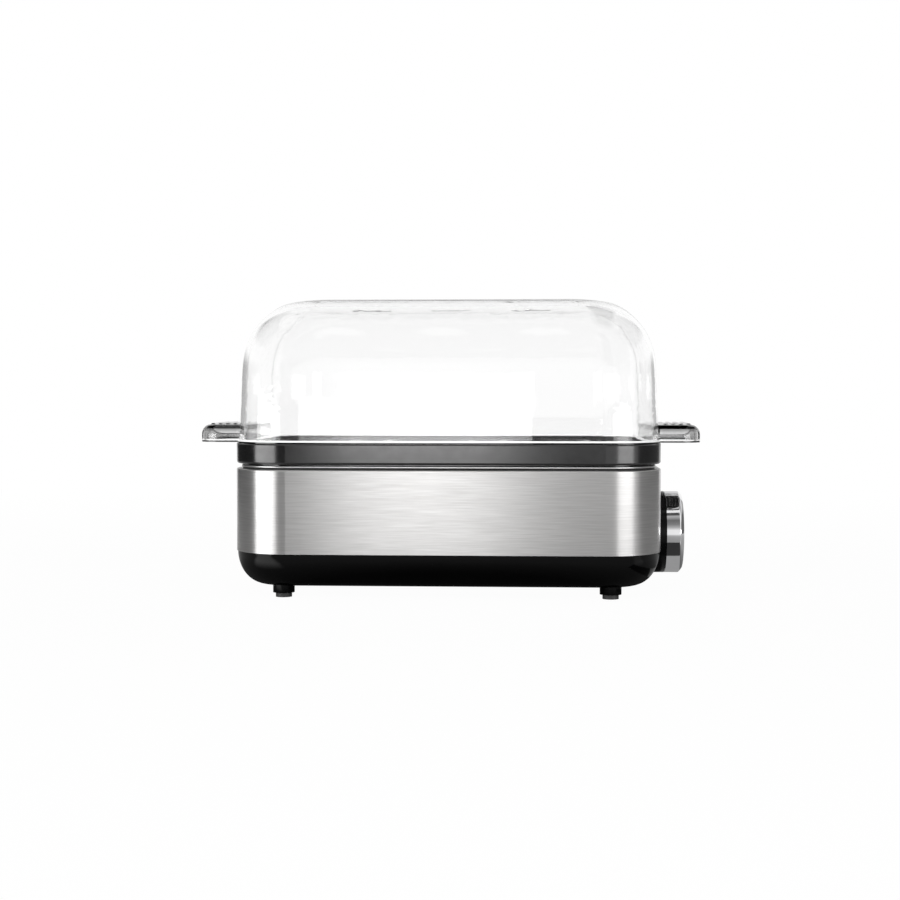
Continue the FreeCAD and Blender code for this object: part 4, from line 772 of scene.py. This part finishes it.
def flag_material(name, half, soft, stops, through):
    """Black panel with soft sides, whose darkness follows the stops from the table, 0, to the top, 1.

    Seen through clear plastic, only a share of that darkness is left.
    """
    material, tree = stage_material(name)
    height = combine(tree, "DIVIDE", own_place(tree)["Z"], FLAG_HEIGHT)
    darkness = brightness_ramp(tree, height, stops)
    darkness = combine(tree, "MULTIPLY", darkness, azimuth_fade(tree, 0.0, half, soft))
    path = tree.nodes.new("ShaderNodeLightPath")
    share = ranged(tree, path.outputs["Is Transmission Ray"], (0.0, 1.0), (1.0, through))
    darkness = combine(tree, "MULTIPLY", darkness, share)
    black = tree.nodes.new("ShaderNodeEmission")
    black.inputs["Strength"].default_value = FLAG_GLOW
    show_mix(tree, darkness, tree.nodes.new("ShaderNodeBsdfTransparent"), black)
    return material


def add_flag(name, points, faces, material):
    """A panel that only shows in reflections and through clear plastic."""
    panel = add_mesh(name, points, faces, material)
    for word in ("camera", "diffuse", "volume_scatter", "shadow"):
        setattr(panel, f"visible_{word}", False)
    return panel


def wall_flag(name, start, end, soft, stops, through):
    """A curved panel that stands round the cooker between two azimuths."""
    half = (end - start) / 2
    count = max(1, round(2 * half / FLAG_STEP))
    points = []
    for i in range(count + 1):
        outward = direction(half * (2 * i / count - 1)) * FLAG_RADIUS
        points.append((outward.x, outward.y, 0.0))
        points.append((outward.x, outward.y, FLAG_HEIGHT))
    faces = [(2 * i, 2 * i + 2, 2 * i + 3, 2 * i + 1) for i in range(count)]
    panel = add_flag(name, points, faces, flag_material(name, half, soft, stops, through))
    panel.rotation_euler.z = math.radians((start + end) / 2)


def level_card(name, corners, level):
    """A level card of one brightness."""
    material, tree = stage_material(name)
    glow = tree.nodes.new("ShaderNodeEmission")
    glow.inputs["Strength"].default_value = level
    show(tree, glow)
    return add_flag(name, corners, RECTANGLE, material)


def low_stops(darkness):
    """Darkness that fades out above the reflections of the band, so the lid stays clear."""
    return ((0.0, darkness), (0.17, darkness), (0.3, 0.0))


def side_stops(darkness):
    """Darkness with a clear stretch that the lid's roof mirrors to someone at the cooker's ends."""
    return ((0.17, darkness), (0.24, 0.0), (0.38, 0.0), (0.46, darkness))


# Dark bands that the knob mirrors
KNOB_STOPS = ((0.12, 0.0), (0.2, 0.5), (0.3, 0.75), (0.46, 0.84), (0.6, 0.6), (0.7, 0.5), (0.78, 0.92))
REAR_STOPS = ((0.0, 0.28), (1.0, 0.28))
# Standing flags: first and last azimuth, width of the soft sides, darkness, and its share through the lid
WALL_FLAGS = {
    "front_left_flag": (-35, -10, 5, low_stops(0.95), 0.0),
    "front_right_flag": (0, 14, 4, low_stops(0.6), 0.0),
    "knob_flag": (11, 30, 4, KNOB_STOPS, 0.0),
    "left_flag": (-138, -70, 4, side_stops(0.95), 0.5),
    "right_flag": (67, 138, 4, side_stops(0.85), 0.5),
    "rear_flag": (154, 206, 6, REAR_STOPS, 0.0),
}
# The black panel over the cooker: left, right, front and rear edge
ROOF_FLAG = (0.145, 0.4, -0.2, 0.6)
# Cards on the table under the knob: front and rear edge, and brightness
KNOB_CARDS = {
    "knob_dark_card": (-0.064, -0.0235, 0.04),
    "knob_bright_card": (-0.0225, 0.03, 0.36),
}
CARD_LEFT = 0.098
CARD_RIGHT = 0.113
CARD_HEIGHT = 0.5 * MM


def studio_flags():
    """Dark panels round the cooker and cards under the knob, for the reflections in metal and gloss."""
    for name, values in WALL_FLAGS.items():
        wall_flag(name, *values)
    level_card("roof_flag", level_corners(*ROOF_FLAG, FLAG_HEIGHT), FLAG_GLOW)
    for name, (front, rear, level) in KNOB_CARDS.items():
        card = level_card(name, level_corners(CARD_LEFT, CARD_RIGHT, front, rear, CARD_HEIGHT), level)
        card.visible_transmission = False


# The sensor's width is in millimetres, as Blender takes it
SENSOR_WIDTH = 36.0
FOCAL_PIXELS = 1586.0
IMAGE_PIXELS = 900
CAMERA_DISTANCE = 0.74
CAMERA_HEIGHT = 0.0923
CAMERA_ASIDE = -0.0006
CAMERA_YAW = 3.18
CAMERA_PITCH = 2.20


def photo_camera():
    """The photograph's camera, fitted to measured edges of the cooker."""
    data = bpy.data.cameras.new("camera")
    data.sensor_width = SENSOR_WIDTH
    data.lens = SENSOR_WIDTH * FOCAL_PIXELS / IMAGE_PIXELS
    camera = bpy.data.objects.new("camera", data)
    turn = Matrix.Rotation(math.radians(CAMERA_YAW), 3, "Z")
    camera.location = turn @ Vector((CAMERA_ASIDE, -CAMERA_DISTANCE, CAMERA_HEIGHT))
    camera.rotation_euler = (math.radians(90 - CAMERA_PITCH), 0.0, math.radians(CAMERA_YAW))
    bpy.context.scene.collection.objects.link(camera)
    bpy.context.scene.camera = camera


finishes = dress_nodes()
# Light goes through the clear lid, so it throws no shadow
frame["nodes"]["lid"].visible_shadow = False
knob_shell(finishes["chrome"])
knob_pointer(finishes["matte_black"])
white_room()
pale_floor()
studio_lamps()
studio_flags()
photo_camera()
bpy.context.scene.view_settings.view_transform = "Standard"
